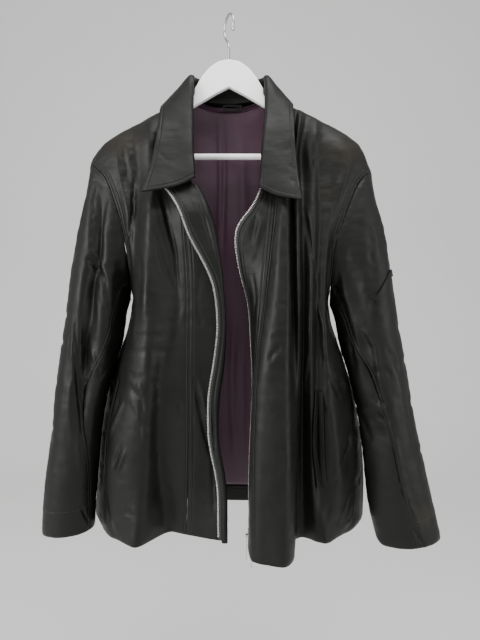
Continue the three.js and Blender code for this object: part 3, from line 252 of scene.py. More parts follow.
def faceSheet(node, thickness, facing):
    # the outer face of a packed wall, as an open sheet of four-sided faces
    bm = bmesh.new()
    bm.from_mesh(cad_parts[node].data)
    bmesh.ops.remove_doubles(bm, verts=bm.verts, dist=sheetLook["weld"])
    bm.normal_update()
    acrossWall = [e for e in bm.edges if abs(e.calc_length() - thickness * mm) < sheetLook["rimSlack"] * mm
                  and e.verts[0].normal.dot(e.verts[1].normal) < sheetLook["rimTurn"]]
    bmesh.ops.delete(bm, geom=list({f for e in acrossWall for f in e.link_faces}), context="FACES")
    regions = sorted(regionsOf(bm), key=lambda region: -len(region))[:2]
    if facing:
        aim = Vector(facing)
        keep = max(regions, key=lambda region: sum(f.normal.dot(aim) * f.calc_area() for f in region))
    else:
        keep = max(regions, key=lambda region: sum(f.calc_area() for f in region))
    bmesh.ops.delete(bm, geom=[f for f in bm.faces if f not in keep], context="FACES")
    bmesh.ops.delete(bm, geom=[v for v in bm.verts if not v.link_faces], context="VERTS")
    bmesh.ops.join_triangles(bm, faces=bm.faces, angle_face_threshold=sheetLook["joinAngle"],
                             angle_shape_threshold=math.pi, topology_influence=2)
    return bm


def smoothSheet(bm, name):
    # subdivides the sheet so that the smooth surface still passes through every point of the coarse one
    piece = linked(meshFrom(bm, name), name)
    mesh = piece.data
    smooth = piece.modifiers.new("smooth", "SUBSURF")
    smooth.boundary_smooth = "PRESERVE_CORNERS"
    smooth.levels = smooth.render_levels = sheetLook["settling"]
    aims = [v.co.copy() for v in mesh.vertices]
    for _ in range(sheetLook["passes"]):
        bpy.context.view_layer.update()
        found = piece.evaluated_get(bpy.context.evaluated_depsgraph_get()).data
        for k, aim in enumerate(aims):
            mesh.vertices[k].co += (aim - found.vertices[k].co) * sheetLook["share"]
        mesh.update()
    smooth.levels = smooth.render_levels = sheetLook["levels"]
    dense = applied(piece).data
    bpy.data.objects.remove(piece)
    return dense


def treeOf(mesh):
    return BVHTree.FromPolygons([v.co for v in mesh.vertices], [tuple(f.vertices) for f in mesh.polygons])


# the direction of sight from each side
sides = {
    "front": Vector((0, 1, 0)), "back": Vector((0, -1, 0)),
    "right": Vector((1, 0, 0)), "left": Vector((-1, 0, 0)),
}


def pathOn(tree, path, side, step=3.0, apart=0.5):
    # points on the sheet along a path, given as (x, z) from the front or back, or as (y, z) from a side
    found = []
    for (a, z), (b, w) in zip(path, path[1:]):
        count = max(int(math.dist((a, z), (b, w)) / step), 1)
        for k in range(count + 1):
            across, up = (a + (b - a) * k / count) * mm, (z + (w - z) * k / count) * mm
            start = Vector((across, 0, up)) if side in ("front", "back") else Vector((0, across, up))
            hit = tree.ray_cast(start - sides[side], sides[side])[0]
            if hit and (not found or (hit - found[-1]).length > apart * mm):
                found.append(hit)
    return found


creaseLook = {
    # how far a crease reaches, in half widths, the height of its ridge and lips, and how its rim eases out
    "reach": 2.6, "ridge": 1.25, "lips": 0.25, "ease": 0.3,
    # how steeply it rises from its ends, what is left of it there, and how much its height wanders
    "rise": 4, "tip": 0.1, "wander": 0.5, "wanderScale": 90,
    # the cloth's own unevenness: scale of its noise along x, y and z
    "broad": (20, 20, 7), "fine": (36, 36, 70), "fineShift": 9, "octaves": 3,
}


def addCreases(mesh, creases, drape):
    # a crease is (side seen from, path, half width, height): below 0 it is a valley with raised lips
    look = creaseLook
    points = [v.co.copy() for v in mesh.vertices]
    normals = [v.normal.copy() for v in mesh.vertices]
    tree = treeOf(mesh)
    cloud = KDTree(len(points))
    for k, point in enumerate(points):
        cloud.insert(point, k)
    cloud.balance()
    heights = [0.0] * len(points)
    for side, path, width, height in creases:
        line = pathOn(tree, path, side)
        nearest = {}
        for place, point in enumerate(line):
            for _, k, away in cloud.find_range(point, look["reach"] * width * mm):
                if k not in nearest or away < nearest[k][0]:
                    nearest[k] = (away, place)
        for k, (away, place) in nearest.items():
            t = away / (width * mm)
            along = place / max(len(line) - 1, 1)
            fade = min(1.0, look["rise"] * along + look["tip"], look["rise"] * (1 - along) + look["tip"])
            wander = 1 + look["wander"] * noise.noise(points[k] * look["wanderScale"])
            profile = look["ridge"] * math.exp(-t * t) - look["lips"] * math.exp(-(t / 2) ** 2)
            heights[k] += height * fade * wander * profile * (1 - t / look["reach"]) ** look["ease"]
    # drape: height of the broad and of the fine unevenness, and how far the piece stands off what it lies on
    broad, fine, lift = drape
    (bx, by, bz), (fx, fy, fz) = look["broad"], look["fine"]
    for k, vertex in enumerate(mesh.vertices):
        p = points[k]
        soft = noise.noise(Vector((p.x * bx, p.y * by, p.z * bz))) * broad
        place = Vector((p.x * fx + look["fineShift"], p.y * fy, p.z * fz))
        crumple = noise.turbulence(place, look["octaves"], False) * fine
        vertex.co = p + normals[k] * ((heights[k] + soft + crumple + lift) * mm)
    mesh.update()


# in mm how far the roll and its puckers reach from the edge, and the strength and scale of the puckers
seamLook = {"reach": 4.0, "puckerReach": 9, "pucker": 0.8, "puckerScale": 105}


def rollSeams(mesh, depth):
    # the edges of a sewn piece roll in towards the seam, and pucker a little along it
    look = seamLook
    bm = bmesh.new()
    bm.from_mesh(mesh)
    rim = [v for v in bm.verts if v.is_boundary]
    cloud = KDTree(len(rim))
    for k, v in enumerate(rim):
        cloud.insert(v.co, k)
    cloud.balance()
    moves = []
    for v in bm.verts:
        away = cloud.find(v.co)[2]
        nearEdge = math.exp(-(away / (look["puckerReach"] * mm)) ** 2)
        pucker = 1 + look["pucker"] * noise.noise(v.co * look["puckerScale"]) * nearEdge
        moves.append((v, v.normal * (-depth * mm * pucker * math.exp(-(away / (look["reach"] * mm)) ** 2))))
    for v, move in moves:
        v.co += move
    bm.to_mesh(mesh)
    bm.free()


def edgeChains(mesh):
    # the four edges of a sheet, each an ordered row of its points
    bm = bmesh.new()
    bm.from_mesh(mesh)
    corners = [v for v in bm.verts if v.is_boundary and len(v.link_faces) == 1]
    chains = []
    for corner in corners:
        for edge in [e for e in corner.link_edges if e.is_boundary]:
            row, v, e = [corner], corner, edge
            while True:
                v = e.other_vert(v)
                row.append(v)
                if v in corners:
                    break
                e = next(other for other in v.link_edges if other.is_boundary and other != e)
            if corners.index(row[0]) < corners.index(row[-1]):
                chains.append([p.co.copy() for p in row])
    bm.free()
    return chains


def rowBeside(mesh, tree, near, inset):
    # points and normals on the sheet, inset from the edge that passes nearest to a place
    place = Vector(near) * mm
    chain = min(edgeChains(mesh), key=lambda row: min((p - place).length for p in row))
    row = []
    for k in range(1, len(chain) - 1):
        along = (chain[k + 1] - chain[k - 1]).normalized()
        normal = tree.find_nearest(chain[k])[1]
        inward = along.cross(normal)
        spots = [tree.find_nearest(chain[k] + inward * (inset * mm * turn)) for turn in (1, -1)]
        spot = max(spots, key=lambda found: (found[0] - chain[k]).length)
        row.append((spot[0], spot[1]))
    return row


def evenly(row, step):
    # places along a row, a step apart: point, normal and direction
    places = []
    left = step / 2
    for (a, m), (b, n) in zip(row, row[1:]):
        span = (b - a).length
        if span < 1e-6:
            continue
        while left <= span:
            share = left / span
            places.append((a.lerp(b, share), m.lerp(n, share).normalized(), (b - a) / span))
            left += step
        left -= span
    return places


def repeated(name, unit, places, finish, lift=0.0):
    # a small shape set at every place, its X along the row and its Z away from the cloth
    bm = bmesh.new()
    for point, normal, along in places:
        side = normal.cross(along).normalized()
        up = along.cross(side)
        turn = Matrix((along, side, up)).transposed().to_4x4()
        before = len(bm.verts)
        bm.from_mesh(unit)
        bm.verts.ensure_lookup_table()
        bmesh.ops.transform(bm, matrix=Matrix.Translation(point + up * lift) @ turn, verts=bm.verts[before:])
    mesh = meshFrom(bm, name)
    shadeSmooth(mesh)
    piece = linked(mesh, name, finish)
    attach(piece, "jacket")
    return piece


# in mm; thread is half its thickness, mark the step at which a stitched line is marked on the leather
stitch = {"length": 3.4, "pitch": 4.8, "thread": 0.42, "lift": 0.1, "mark": 1.5}


def stitchUnit():
    # one lock stitch: a long ellipsoid, nearly half sunk in the leather
    bm = bmesh.new()
    bmesh.ops.create_uvsphere(bm, u_segments=6, v_segments=4, radius=1)
    bmesh.ops.rotate(bm, verts=bm.verts, matrix=Matrix.Rotation(math.pi / 2, 3, "Y"))
    thick = stitch["thread"] * mm
    bmesh.ops.scale(bm, verts=bm.verts, vec=(stitch["length"] / 2 * mm, thick, thick))
    return meshFrom(bm, "stitchUnit")


lockStitch = stitchUnit()


def stitchesOn(name, mesh, rows):
    tree = treeOf(mesh)
    places = []
    for near, inset in rows:
        places += evenly(rowBeside(mesh, tree, near, inset), stitch["pitch"] * mm)
    return repeated(name, lockStitch, places, thread, stitch["lift"] * mm)


def markStitchLines(mesh, rows):
    # how far each point lies from the stitched lines, which the leather's pattern reads
    marks = mesh.attributes.new("stitchAway", "FLOAT", "POINT")
    away = [1.0] * len(mesh.vertices)
    tree = treeOf(mesh)
    step = stitch["mark"] * mm
    line = [p for near, inset in rows for p, _, _ in evenly(rowBeside(mesh, tree, near, inset), step)]
    if line:
        cloud = KDTree(len(line))
        for k, point in enumerate(line):
            cloud.insert(point, k)
        cloud.balance()
        away = [cloud.find(v.co)[2] for v in mesh.vertices]
    marks.data.foreach_set("value", away)


# Zip, welts, loop, hanger

def roundedCopy(name, node, finish, radius):
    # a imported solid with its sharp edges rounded
    flatWithin, sharpBeyond = math.radians(1.5), math.radians(50)
    bm = bmesh.new()
    bm.from_mesh(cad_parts[node].data)
    bmesh.ops.remove_doubles(bm, verts=bm.verts, dist=sheetLook["weld"])
    bmesh.ops.dissolve_limit(bm, verts=bm.verts, edges=bm.edges, angle_limit=flatWithin)
    sharp = [e for e in bm.edges if len(e.link_faces) == 2 and e.calc_face_angle() > sharpBeyond]
    bmesh.ops.bevel(bm, geom=sharp, offset=radius * mm, offset_type="OFFSET", affect="EDGES", segments=3,
                    profile=0.5, material=-1, clamp_overlap=True)
    mesh = meshFrom(bm, name)
    shadeSmooth(mesh)
    piece = linked(mesh, name, finish)
    even = piece.modifiers.new("evenShade", "WEIGHTED_NORMAL")
    even.keep_sharp = True
    return applied(piece)


smallParts = {
    # piece: the node it takes the place of, finish, rounding in mm, body, slot
    "rightPocketWelt": ("pocket_right_welt", nappa, 0.8, "jacket", "shell_leather"),
    "leftPocketFrontWelt": ("pocket_left_front_welt", nappa, 0.8, "jacket", "shell_leather"),
    "leftPocketBackWelt": ("pocket_left_back_welt", nappa, 0.8, "jacket", "shell_leather"),
    "sleevePocketWelt": ("sleeve_pocket_welt", nappa, 1.0, "jacket", "shell_leather"),
    "hangingLoop": ("neck_loop", nappa, 0.6, "jacket", "shell_leather"),
    "upperSlider": ("zip_slider_upper", nickel, 0.35, "jacket", "zip_metal"),
    "lowerSlider": ("zip_slider_lower", nickel, 0.35, "jacket", "zip_metal"),
    "upperPullTab": ("zip_pull_upper", nickel, 0.3, "pull_upper", "zip_metal"),
    "lowerPullTab": ("zip_pull_lower", nickel, 0.3, "pull_lower", "zip_metal"),
    "hangerArms": ("hanger_arms", lacquer, 1.2, "jacket", "hanger_paint"),
    "trouserBar": ("hanger_bar", lacquer, 0.5, "jacket", "hanger_paint"),
    "swivelHook": ("hanger_hook", wire, 0.2, "jacket", "hook_steel"),
}
for pieceName, (nodeName, finish, radius, bodyName, slotName) in smallParts.items():
    part = roundedCopy(pieceName, nodeName, finish, radius)
    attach(part, bodyName)
    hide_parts(nodeName)
print("small parts made")

# in mm; the band is how far above and below its middle a tape is searched for its free edge
zipLook = {
    "tooth": (1.2, 3.2, 2.4), "round": 0.3, "pitch": 2.5, "inset": 0.9, "sunk": 0.5,
    "tape": 1, "band": 12,
}


def toothUnit():
    bm = bmesh.new()
    bmesh.ops.create_cube(bm, size=1)
    bmesh.ops.scale(bm, verts=bm.verts, vec=[side * mm for side in zipLook["tooth"]])
    bmesh.ops.bevel(bm, geom=bm.edges, offset=zipLook["round"] * mm, offset_type="OFFSET", affect="EDGES",
                    segments=1, profile=0.5, material=-1)
    return meshFrom(bm, "toothUnit")


def freeEdge(mesh, panel):
    # the place half way down a tape that lies furthest from the panel it is sewn to, in mm
    tree = treeOf(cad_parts[panel].data)
    heights = [v.co.z for v in mesh.vertices]
    middle = (max(heights) + min(heights)) / 2
    level = [v.co for v in mesh.vertices if abs(v.co.z - middle) < zipLook["band"] * mm]
    return max(level, key=lambda point: tree.find_nearest(point)[3]) / mm


def walled(mesh, name, thickness, *materials):
    # the sheet given its thickness, inwards from its outer face; the last material is that of the inner face
    piece = linked(mesh, name, *materials)
    wall = piece.modifiers.new("wall", "SOLIDIFY")
    wall.thickness = thickness * mm
    wall.offset = -1
    wall.material_offset = len(materials) - 1
    return applied(piece)


def zipSide(name, node, panel):
    # one woven tape with its row of teeth
    mesh = smoothSheet(faceSheet(node, zipLook["tape"], (0, -1, 0)), name)
    shadeSmooth(mesh)
    row = rowBeside(mesh, treeOf(mesh), freeEdge(mesh, panel), zipLook["inset"])
    places = evenly(row, zipLook["pitch"] * mm)
    teeth = repeated(name + "Teeth", toothUnit(), places, nickel, -zipLook["sunk"] * mm)
    piece = walled(mesh, name, zipLook["tape"], tape)
    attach(piece, "jacket")
    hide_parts(node)
    return piece, teeth


zips = {
    "rightFrontFacing": zipSide("rightZipTape", "zip_tape_right", "front_right_facing"),
    "leftFrontCentre": zipSide("leftZipTape", "zip_tape_left", "front_left_centre"),
}
print("zip made")


def clothPiece(name, spec, trims=()):
    # thickness, roll and drape in mm
    spec = {
        "thickness": 2, "facing": None, "roll": 0.9, "drape": (0.5, 0.7, 0), "creases": [], "stitches": [],
        "materials": (nappa, nappa), "slot": "shell_leather", "restsOn": "hanger_arms", **spec,
    }
    mesh = smoothSheet(faceSheet(spec["node"], spec["thickness"], spec["facing"]), name)
    rollSeams(mesh, spec["roll"])
    addCreases(mesh, spec["creases"], spec["drape"])
    shadeSmooth(mesh)
    rows = spec["stitches"]
    trims = list(trims)
    markStitchLines(mesh, rows)
    if rows:
        trims.append(stitchesOn(name + "Stitches", mesh, rows))
    piece = walled(mesh, name, spec["thickness"], *spec["materials"])
    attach(piece, "jacket")
    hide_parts(spec["node"])
    print(name, len(piece.data.polygons), "faces")
    return piece


rightFront = {
    "rightFrontCentre": {
        "node": "front_right_centre", "facing": (0, -1, 0), "cut": (110, 780), "area": 0.0365,
        "materials": (nappa, lining),
        "stitches": [((-70, -70, -480), 3), ((-70, -70, -480), 9)],
        "creases": [
            ("front", [(-60, -588), (-45, -679), (-28, -748), (-25, -835)], 5, -3.6),
            ("front", [(-50, -600), (-36, -680), (-19, -745), (-14, -800)], 5, 2.2),
            ("front", [(-45, -430), (-52, -480), (-46, -540)], 6, -1.6),
            ("front", [(-56, -520), (-38, -512)], 4, -1.4),
            ("front", [(-62, -650), (-58, -700), (-60, -760)], 5, -1.4),
            ("front", [(-58, -800), (-42, -812)], 4, -1.2),
        ],
    },
    "rightFrontSide": {
        "node": "front_right_side", "facing": (0, -1, 0), "cut": (300, 770), "area": 0.1332,
        "materials": (nappa, lining),
        "stitches": [((-72, -70, -480), 3), ((-190, -35, -320), 4), ((-190, -35, -320), 10)],
        "creases": [
            ("front", [(-168, -222), (-160, -269), (-159, -293)], 8, 2.6),
            ("front", [(-179, -215), (-171, -262), (-170, -300)], 6, -2.2),
            ("front", [(-158, -279), (-157, -330), (-169, -392)], 4, -2.6),
            ("front", [(-109, -303), (-97, -354), (-87, -396), (-83, -455), (-81, -478)], 3.5, -3),
            ("front", [(-116, -305), (-104, -356), (-94, -398), (-90, -450)], 3.5, 1.8),
            ("front", [(-119, -368), (-103, -426), (-88, -465)], 3.5, -2.4),
            ("front", [(-134, -394), (-130, -432), (-133, -477), (-137, -509)], 9, 2.4),
            ("front", [(-152, -513), (-118, -517), (-80, -511)], 4, -1.3),
            ("front", [(-168, -537), (-130, -534), (-97, -535)], 4, -2),
            ("front", [(-162, -561), (-119, -558), (-80, -564)], 4, -1.7),
            ("front", [(-162, -618), (-143, -638), (-136, -658)], 4, -2.6),
            ("front", [(-147, -612), (-134, -630)], 4, 2.2),
            ("front", [(-167, -596), (-149, -603), (-129, -596)], 4, -1.8),
            ("front", [(-158, -642), (-147, -657), (-146, -676)], 3.5, 1.8),
            ("front", [(-126, -600), (-112, -618)], 4, -1.5),
            ("front", [(-137, -679), (-136, -706)], 4, 2.2),
            ("front", [(-172, -642), (-188, -678), (-205, -716)], 4, 3),
            ("front", [(-182, -640), (-197, -676)], 4, -2.6),
            ("front", [(-168, -722), (-187, -767)], 4, 2.4),
            ("front", [(-176, -714), (-195, -760)], 4, -2.6),
            ("front", [(-173, -823), (-150, -832)], 3.5, -2.6),
            ("front", [(-170, -815), (-149, -824)], 3.5, 1.6),
            ("front", [(-122, -693), (-114, -777), (-103, -869)], 13, -2.6),
            ("front", [(-215, -800), (-205, -850), (-190, -878)], 7, -2.6),
            ("front", [(-100, -640), (-84, -650), (-78, -664)], 4, -1.5),
            ("front", [(-70, -872), (-150, -880), (-220, -884)], 5, -1.2),
            ("right", [(10, -620), (-12, -640), (-30, -636)], 6, -2.2),
            ("right", [(12, -760), (-10, -776), (-34, -770)], 6, -2),
        ],
    },
    "rightFrontFacing": {
        "node": "front_right_facing", "cut": (58, 610), "area": 0.0149, "roll": 0.3, "drape": (0.4, 0.4, 0),
        "stitches": [((-60, -82, -340), 4)],
        "creases": [
            ("front", [(-50, -302), (-37, -350), (-18, -413)], 4, -1.7),
            ("front", [(-38, -325), (-26, -369), (-13, -426)], 4, 1.3),
            ("front", [(-60, -300), (-52, -330)], 4, 1.2),
            ("front", [(-66, -290), (-54, -297), (-44, -294)], 4, -1.5),
            ("front", [(-60, -312), (-48, -316)], 4, -1.3),
        ],
    },
}
leftFront = {
    "leftFrontCentre": {
        "node": "front_left_centre", "facing": (0, -1, 0), "cut": (105, 786), "area": 0.0336,
        "materials": (nappa, lining),
        "stitches": [((34, -54, -495), 5), ((57, -88, -480), 3), ((57, -88, -480), 9)],
        "creases": [
            ("front", [(46, -336), (37, -381)], 5, -2.2),
            ("front", [(56, -343), (43, -394)], 5, 2.2),
            ("front", [(38, -430), (44, -470), (40, -520)], 4, -1.3),
            ("front", [(48, -404), (40, -420)], 4, -1.4),
        ],
    },
    "leftFrontSide": {
        "node": "front_left_side", "facing": (0, -1, 0), "cut": (360, 775), "area": 0.1768,
        "materials": (nappa, lining),
        "stitches": [((59, -90, -480), 3), ((200, -35, -320), 4), ((200, -35, -320), 10)],
        "creases": [
            ("front", [(61, -568), (67, -563), (82, -549)], 3.5, -2.6),
            ("front", [(66, -518), (97, -515)], 4, -1.6),
            ("front", [(63, -535), (92, -530)], 4, -1.6),
            ("front", [(73, -707), (90, -704)], 4, -1.7),
            ("front", [(74, -723), (91, -726)], 4, -1.6),
            ("front", [(71, -742), (87, -738)], 4, -1.4),
            ("front", [(70, -480), (94, -484)], 4, -1.1),
            ("front", [(66, -600), (90, -606)], 4, -1.3),
            ("front", [(70, -640), (92, -636)], 4, -1.2),
            ("front", [(66, -800), (88, -808)], 5, -1.3),
            ("front", [(112, -323), (111, -413), (113, -508)], 4, 2),
            ("front", [(122, -321), (133, -397), (148, -461)], 5, -2.6),
            ("front", [(130, -496), (132, -550), (127, -595), (126, -646)], 4, 2.6),
            ("front", [(142, -469), (156, -521), (159, -587)], 5, 3),
            ("front", [(164, -595), (188, -610), (208, -640)], 6, 3),
            ("front", [(158, -602), (176, -622), (190, -650)], 5, -2.6),
            ("front", [(154, -621), (167, -662)], 6, 2.6),
            ("front", [(187, -755), (209, -729), (209, -704)], 6, -2.6),
            ("front", [(157, -801), (187, -776)], 5, -2.4),
            ("front", [(191, -873), (210, -862), (223, -835)], 6, 3),
            ("front", [(182, -868), (200, -840), (212, -806)], 5, -2.2),
            ("front", [(160, -850), (172, -820)], 6, -1.7),
            ("front", [(187, -236), (178, -290), (173, -340)], 9, -2.2),
            ("front", [(150, -200), (146, -250)], 12, -1.4),
            ("front", [(147.5, -645), (147.5, -700), (148.5, -735), (154, -775)], 2.5, -3.5),
            ("left", [(10, -640), (-12, -660), (-30, -654)], 6, -2.2),
            ("left", [(12, -790), (-8, -806), (-24, -800)], 6, -2),
        ],
    },
}
backs = {
    "jacketBack": {
        "node": "back", "facing": (0, 1, 0), "cut": (600, 755), "area": 0.3292,
        "materials": (nappa, lining),
        "stitches": [((-205, 38, -320), 4), ((212, 38, -320), 4)],
        "creases": [
            ("back", [(-120, -560), (-60, -572), (10, -566)], 5, -1.9),
            ("back", [(-20, -600), (60, -590), (130, -604)], 5, -1.8),
            ("back", [(-84, -618), (-30, -626)], 4, -1.4),
            ("back", [(-182, -430), (-130, -520), (-90, -640)], 9, -1.6),
            ("back", [(178, -440), (120, -540), (96, -650)], 9, -1.6),
            ("back", [(-60, -180), (-66, -330), (-58, -470)], 10, 1.8),
            ("back", [(70, -190), (64, -300), (76, -450)], 10, 1.6),
            ("back", [(-110, -300), (-84, -342)], 5, -1.8),
            ("back", [(120, -286), (98, -318), (90, -350)], 5, -1.7),
            ("back", [(-150, -800), (-112, -832)], 5, -2),
            ("back", [(120, -776), (150, -822)], 5, -2),
            ("back", [(30, -690), (22, -760), (34, -830)], 8, 1.6),
            ("back", [(-204, -640), (-160, -668), (-128, -660)], 6, -2.2),
            ("back", [(206, -660), (166, -690), (140, -684)], 6, -2.2),
            ("back", [(-30, -420), (-4, -432), (22, -426)], 5, -1.2),
        ],
    },
    "backLining": {
        "node": "back_lining", "facing": (0, -1, 0), "cut": (480, 720), "area": 0.253, "thickness": 1,
        "materials": (lining, lining), "slot": "lining", "restsOn": "back",
        "roll": 0.2, "drape": (1.0, 0.3, 1.9),
        "creases": [
            ("front", [(-18, -150), (-17, -260), (-20, -400)], 4, 2),
            ("front", [(-10, -150), (-9, -260), (-13, -420)], 4, -1.8),
            ("front", [(20, -180), (26, -320), (18, -480)], 9, 2),
            ("front", [(-34, -300), (-30, -470), (-24, -640)], 9, -2),
            ("front", [(8, -520), (4, -620), (10, -800)], 8, 2),
            ("front", [(24, -560), (22, -700), (28, -820)], 7, 1.4),
            ("front", [(4, -676), (9, -684), (16, -680)], 4, -1.6),
            ("front", [(9, -684), (8, -700)], 4, -1.6),
        ],
    },
    "hemFacing": {
        "node": "back_hem_facing", "facing": (0, -1, 0), "cut": (460, 34), "area": 0.0115, "restsOn": "back",
        "roll": 0.3, "drape": (0.3, 0.3, 1.2), "stitches": [((0, 45, -838), 3)],
    },
}
sleeves = {
    "rightTopSleeve": {
        "node": "sleeve_right_top", "cut": (275, 660), "area": 0.1197, "materials": (nappa, lining),
        "restsOn": ("front_right_side", "back"),
        "stitches": [((-248, -45, -700), 4), ((-290, -40, -890), 46)],
        "creases": [
            ("front", [(-230, -395), (-227, -311), (-223, -280)], 7, -2.6),
            ("front", [(-238, -404), (-222, -425), (-197, -462)], 5, -3.2),
            ("front", [(-233, -394), (-215, -412), (-194, -448)], 5, 2),
            ("front", [(-220, -478), (-200, -498)], 5, -2.2),
            ("front", [(-249, -503), (-251, -606), (-248, -692), (-245, -735)], 4, 2.2),
            ("front", [(-263, -500), (-262, -600), (-257, -690), (-254, -780)], 4, 1.7),
            ("front", [(-256, -505), (-257, -600), (-252, -690)], 3.5, -1.8),
            ("front", [(-300, -520), (-306, -640), (-312, -760)], 14, -1.4),
            ("front", [(-231, -563), (-219, -600)], 4, 2),
            ("front", [(-256, -834), (-249, -861), (-244, -886)], 2.5, -3.6),
            ("back", [(-290, -560), (-262, -574), (-236, -592)], 6, -2.6),
            ("back", [(-298, -600), (-262, -608), (-234, -628)], 6, -2.8),
            ("back", [(-302, -642), (-270, -652), (-244, -668)], 6, -2.2),
            ("back", [(-254, -330), (-240, -430), (-246, -520)], 9, 2),
            ("back", [(-300, -760), (-270, -772), (-252, -790)], 5, -1.6),
            ("right", [(-40, -500), (-10, -512), (20, -506)], 6, -2.2),
            ("right", [(-45, -560), (-15, -548), (22, -566)], 6, -2.4),
            ("right", [(-36, -620), (5, -632)], 6, -2),
            ("right", [(-44, -700), (-16, -708)], 5, -1.6),
            ("right", [(-20, -300), (-14, -420), (-18, -490)], 12, 1.6),
        ],
    },
    "rightUnderSleeve": {
        "node": "sleeve_right_under", "cut": (150, 490), "area": 0.0383, "materials": (nappa, lining),
        "restsOn": ("front_right_side", "back"),
        "creases": [
            ("front", [(-221, -587), (-217, -609), (-209, -598)], 4, -2.8),
            ("front", [(-226, -570), (-216, -598)], 4, 2.2),
            ("front", [(-242, -783), (-244, -842)], 4, 1.6),
            ("left", [(-40, -640), (-14, -652), (10, -646)], 5, -2),
            ("left", [(-34, -760), (-6, -770)], 5, -1.6),
        ],
    },
    "leftTopSleeve": {
        "node": "sleeve_left_top", "cut": (275, 670), "area": 0.1205, "materials": (nappa, lining),
        "restsOn": ("front_left_side", "back"),
        "stitches": [((262, -52, -680), 4), ((340, -45, -898), 50)],
        "creases": [
            ("front", [(221, -512), (245, -557), (258, -638)], 6, 2.4),
            ("front", [(275, -697), (290, -758), (299, -801), (319, -847), (333, -887)], 6, 2.4),
            ("front", [(244, -640), (262, -655)], 4, -2.8),
            ("front", [(250, -677), (273, -680)], 4, -2.8),
            ("front", [(283, -793), (306, -796)], 4, -2.2),
            ("front", [(262, -560), (280, -575), (288, -600)], 6, -1.8),
            ("front", [(240, -600), (262, -596), (276, -606)], 5, -2),
            ("front", [(264, -715), (280, -722), (298, -716)], 4, -2),
            ("front", [(300, -820), (318, -827)], 4, -2),
            ("front", [(305, -850), (321, -878), (338, -903)], 2.5, -3.6),
            ("front", [(179, -455), (188, -469)], 4, -3),
            ("front", [(190, -470), (203, -520), (215, -560)], 6, -3),
            ("front", [(262, -330), (268, -400), (262, -460)], 10, 1.6),
            ("front", [(236, -350), (240, -430), (232, -500)], 9, -1.8),
            ("front", [(300, -600), (312, -680), (326, -760)], 12, -1.4),
            ("back", [(304, -590), (272, -604), (246, -628)], 6, -2.6),
            ("back", [(312, -630), (280, -642), (252, -664)], 6, -2.8),
            ("back", [(318, -676), (290, -684), (262, -700)], 6, -2.2),
            ("back", [(256, -340), (248, -440), (254, -540)], 9, 2),
            ("back", [(340, -800), (306, -812), (280, -830)], 5, -1.6),
            ("left", [(-36, -520), (-6, -534), (24, -528)], 6, -2.2),
            ("left", [(-40, -590), (-10, -580), (24, -596)], 6, -2.4),
            ("left", [(-34, -656), (8, -668)], 6, -2),
            ("left", [(-40, -740), (-12, -748)], 5, -1.6),
            ("left", [(-16, -320), (-10, -430), (-16, -500)], 12, 1.6),
        ],
    },
    "leftUnderSleeve": {
        "node": "sleeve_left_under", "cut": (165, 502), "area": 0.0499, "materials": (nappa, lining),
        "restsOn": ("front_left_side", "back"),
        "creases": [
            ("front", [(205, -540), (217, -603)], 6, -3),
            ("front", [(218, -634), (228, -677), (245, -722)], 6, -3.2),
            ("front", [(244, -640), (258, -655)], 4, -2.8),
            ("front", [(252, -677), (264, -679)], 4, -2.4),
            ("front", [(309, -873), (312, -895)], 3, -2),
            ("right", [(-40, -660), (-14, -672), (10, -666)], 5, -2),
        ],
    },
}
collar = {
    "foldedCollar": {
        "node": "collar", "cut": (670, 120), "area": 0.054, "restsOn": "back",
        "roll": 0.2, "drape": (0.5, 0.5, 0),
        "stitches": [((0, 55, -166), 6), ((-104, -80, -290), 6), ((88, -80, -300), 6)],
        "creases": [
            ("front", [(-112, -240), (-96, -256)], 3.5, -0.9),
            ("front", [(94, -262), (110, -270)], 3.5, -1),
            ("front", [(88, -238), (104, -233)], 3.5, -0.9),
            ("front", [(98, -286), (114, -294)], 3.5, -0.9),
            ("back", [(-40, -128), (0, -134), (36, -130)], 6, -0.8),
        ],
    },
}

for group in (rightFront, leftFront, backs, sleeves, collar):
    for pieceName, spec in group.items():
        clothPiece(pieceName, spec, zips.get(pieceName, ()))
print("cloth made")


# Studio

def areaLight(name, size, place, aim, power):
    data = bpy.data.lights.new(name, "AREA")
    data.shape = "RECTANGLE"
    data.size, data.size_y = size
    data.energy = power
    lamp = bpy.data.objects.new(name, data)
    lamp.location = place
    lamp.rotation_euler = (Vector(aim) - Vector(place)).to_track_quat("-Z", "Y").to_euler()
    bpy.context.scene.collection.objects.link(lamp)


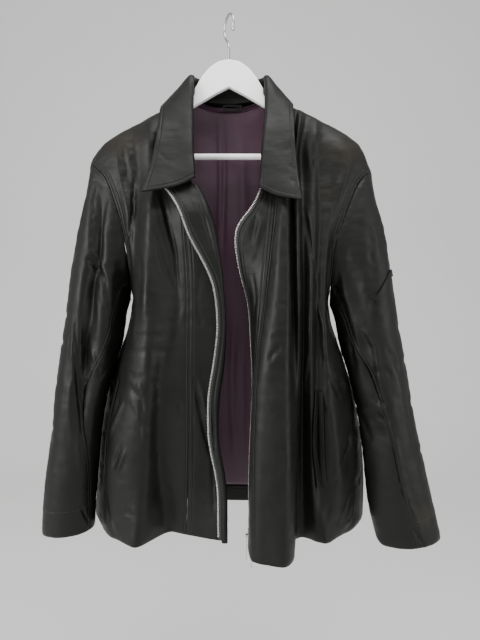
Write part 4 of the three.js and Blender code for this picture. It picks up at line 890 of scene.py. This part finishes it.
studioLook = {
    "wall": 0xc9cbc9, "world": 1.5,
    # in m: height of the floor, place of the wall, how far both reach, and the radius between them
    "floor": -1.6, "back": 3.4, "reach": 9.0, "bend": 1.6,
    # each soft light: size in m, place, what it faces, power in W
    "lights": {
        "windowLeft": ((1.3, 2.3), (-2.4, -1.9, 0.1), (0, 0, -0.5), 120),
        "ceiling": ((2.6, 1.8), (0.4, -1.1, 2.2), (0, 0, -0.4), 110),
        "doorRight": ((0.6, 2.2), (2.4, -1.4, -0.3), (0, 0, -0.6), 30),
    },
    # lens and sensor in mm, place in m, pitch in degrees
    "camera": {"lens": 28, "sensor": 36, "place": (0.0188, -0.88, -0.445), "pitch": 85.4},
}


def paleSweep():
    # a floor that bends up into a wall, far behind the jacket
    look = studioLook
    bm = bmesh.new()
    bmesh.ops.create_grid(bm, x_segments=1, y_segments=1, size=look["reach"])
    bmesh.ops.translate(bm, verts=bm.verts, vec=(0, look["back"] - look["reach"], look["floor"]))
    far = [e for e in bm.edges if all(v.co.y > look["back"] - 0.01 for v in e.verts)]
    wallTop = bmesh.ops.extrude_edge_only(bm, edges=far)["geom"]
    raised = [v for v in wallTop if isinstance(v, bmesh.types.BMVert)]
    bmesh.ops.translate(bm, verts=raised, vec=(0, 0, look["reach"]))
    bm.edges.ensure_lookup_table()
    corner = [e for e in bm.edges if len(e.link_faces) == 2]
    bmesh.ops.bevel(bm, geom=corner, offset=look["bend"], offset_type="OFFSET", affect="EDGES", segments=16,
                    profile=0.5, material=-1)
    bmesh.ops.recalc_face_normals(bm, faces=bm.faces)
    mesh = meshFrom(bm, "paleSweep")
    shadeSmooth(mesh)
    paint = noisyFinish("mattWallPaint", look["wall"], look["wall"] + 0x030303, 3, (0.8, 0.95))
    linked(mesh, "paleSweep", paint)


def studio():
    world = bpy.data.worlds.new("paleRoom")
    bpy.context.scene.world = world
    world.use_nodes = True
    background = world.node_tree.nodes["Background"]
    background.inputs["Color"].default_value = linearColour(studioLook["wall"])
    background.inputs["Strength"].default_value = studioLook["world"]
    for name, (size, place, aim, power) in studioLook["lights"].items():
        areaLight(name, size, place, aim, power)
    paleSweep()


def frontCamera():
    look = studioLook["camera"]
    data = bpy.data.cameras.new("camera")
    data.lens = look["lens"]
    data.sensor_width = look["sensor"]
    camera = bpy.data.objects.new("camera", data)
    camera.location = look["place"]
    camera.rotation_euler = (math.radians(look["pitch"]), 0, 0)
    bpy.context.scene.collection.objects.link(camera)
    bpy.context.scene.camera = camera


studio()
frontCamera()
print("studio set")
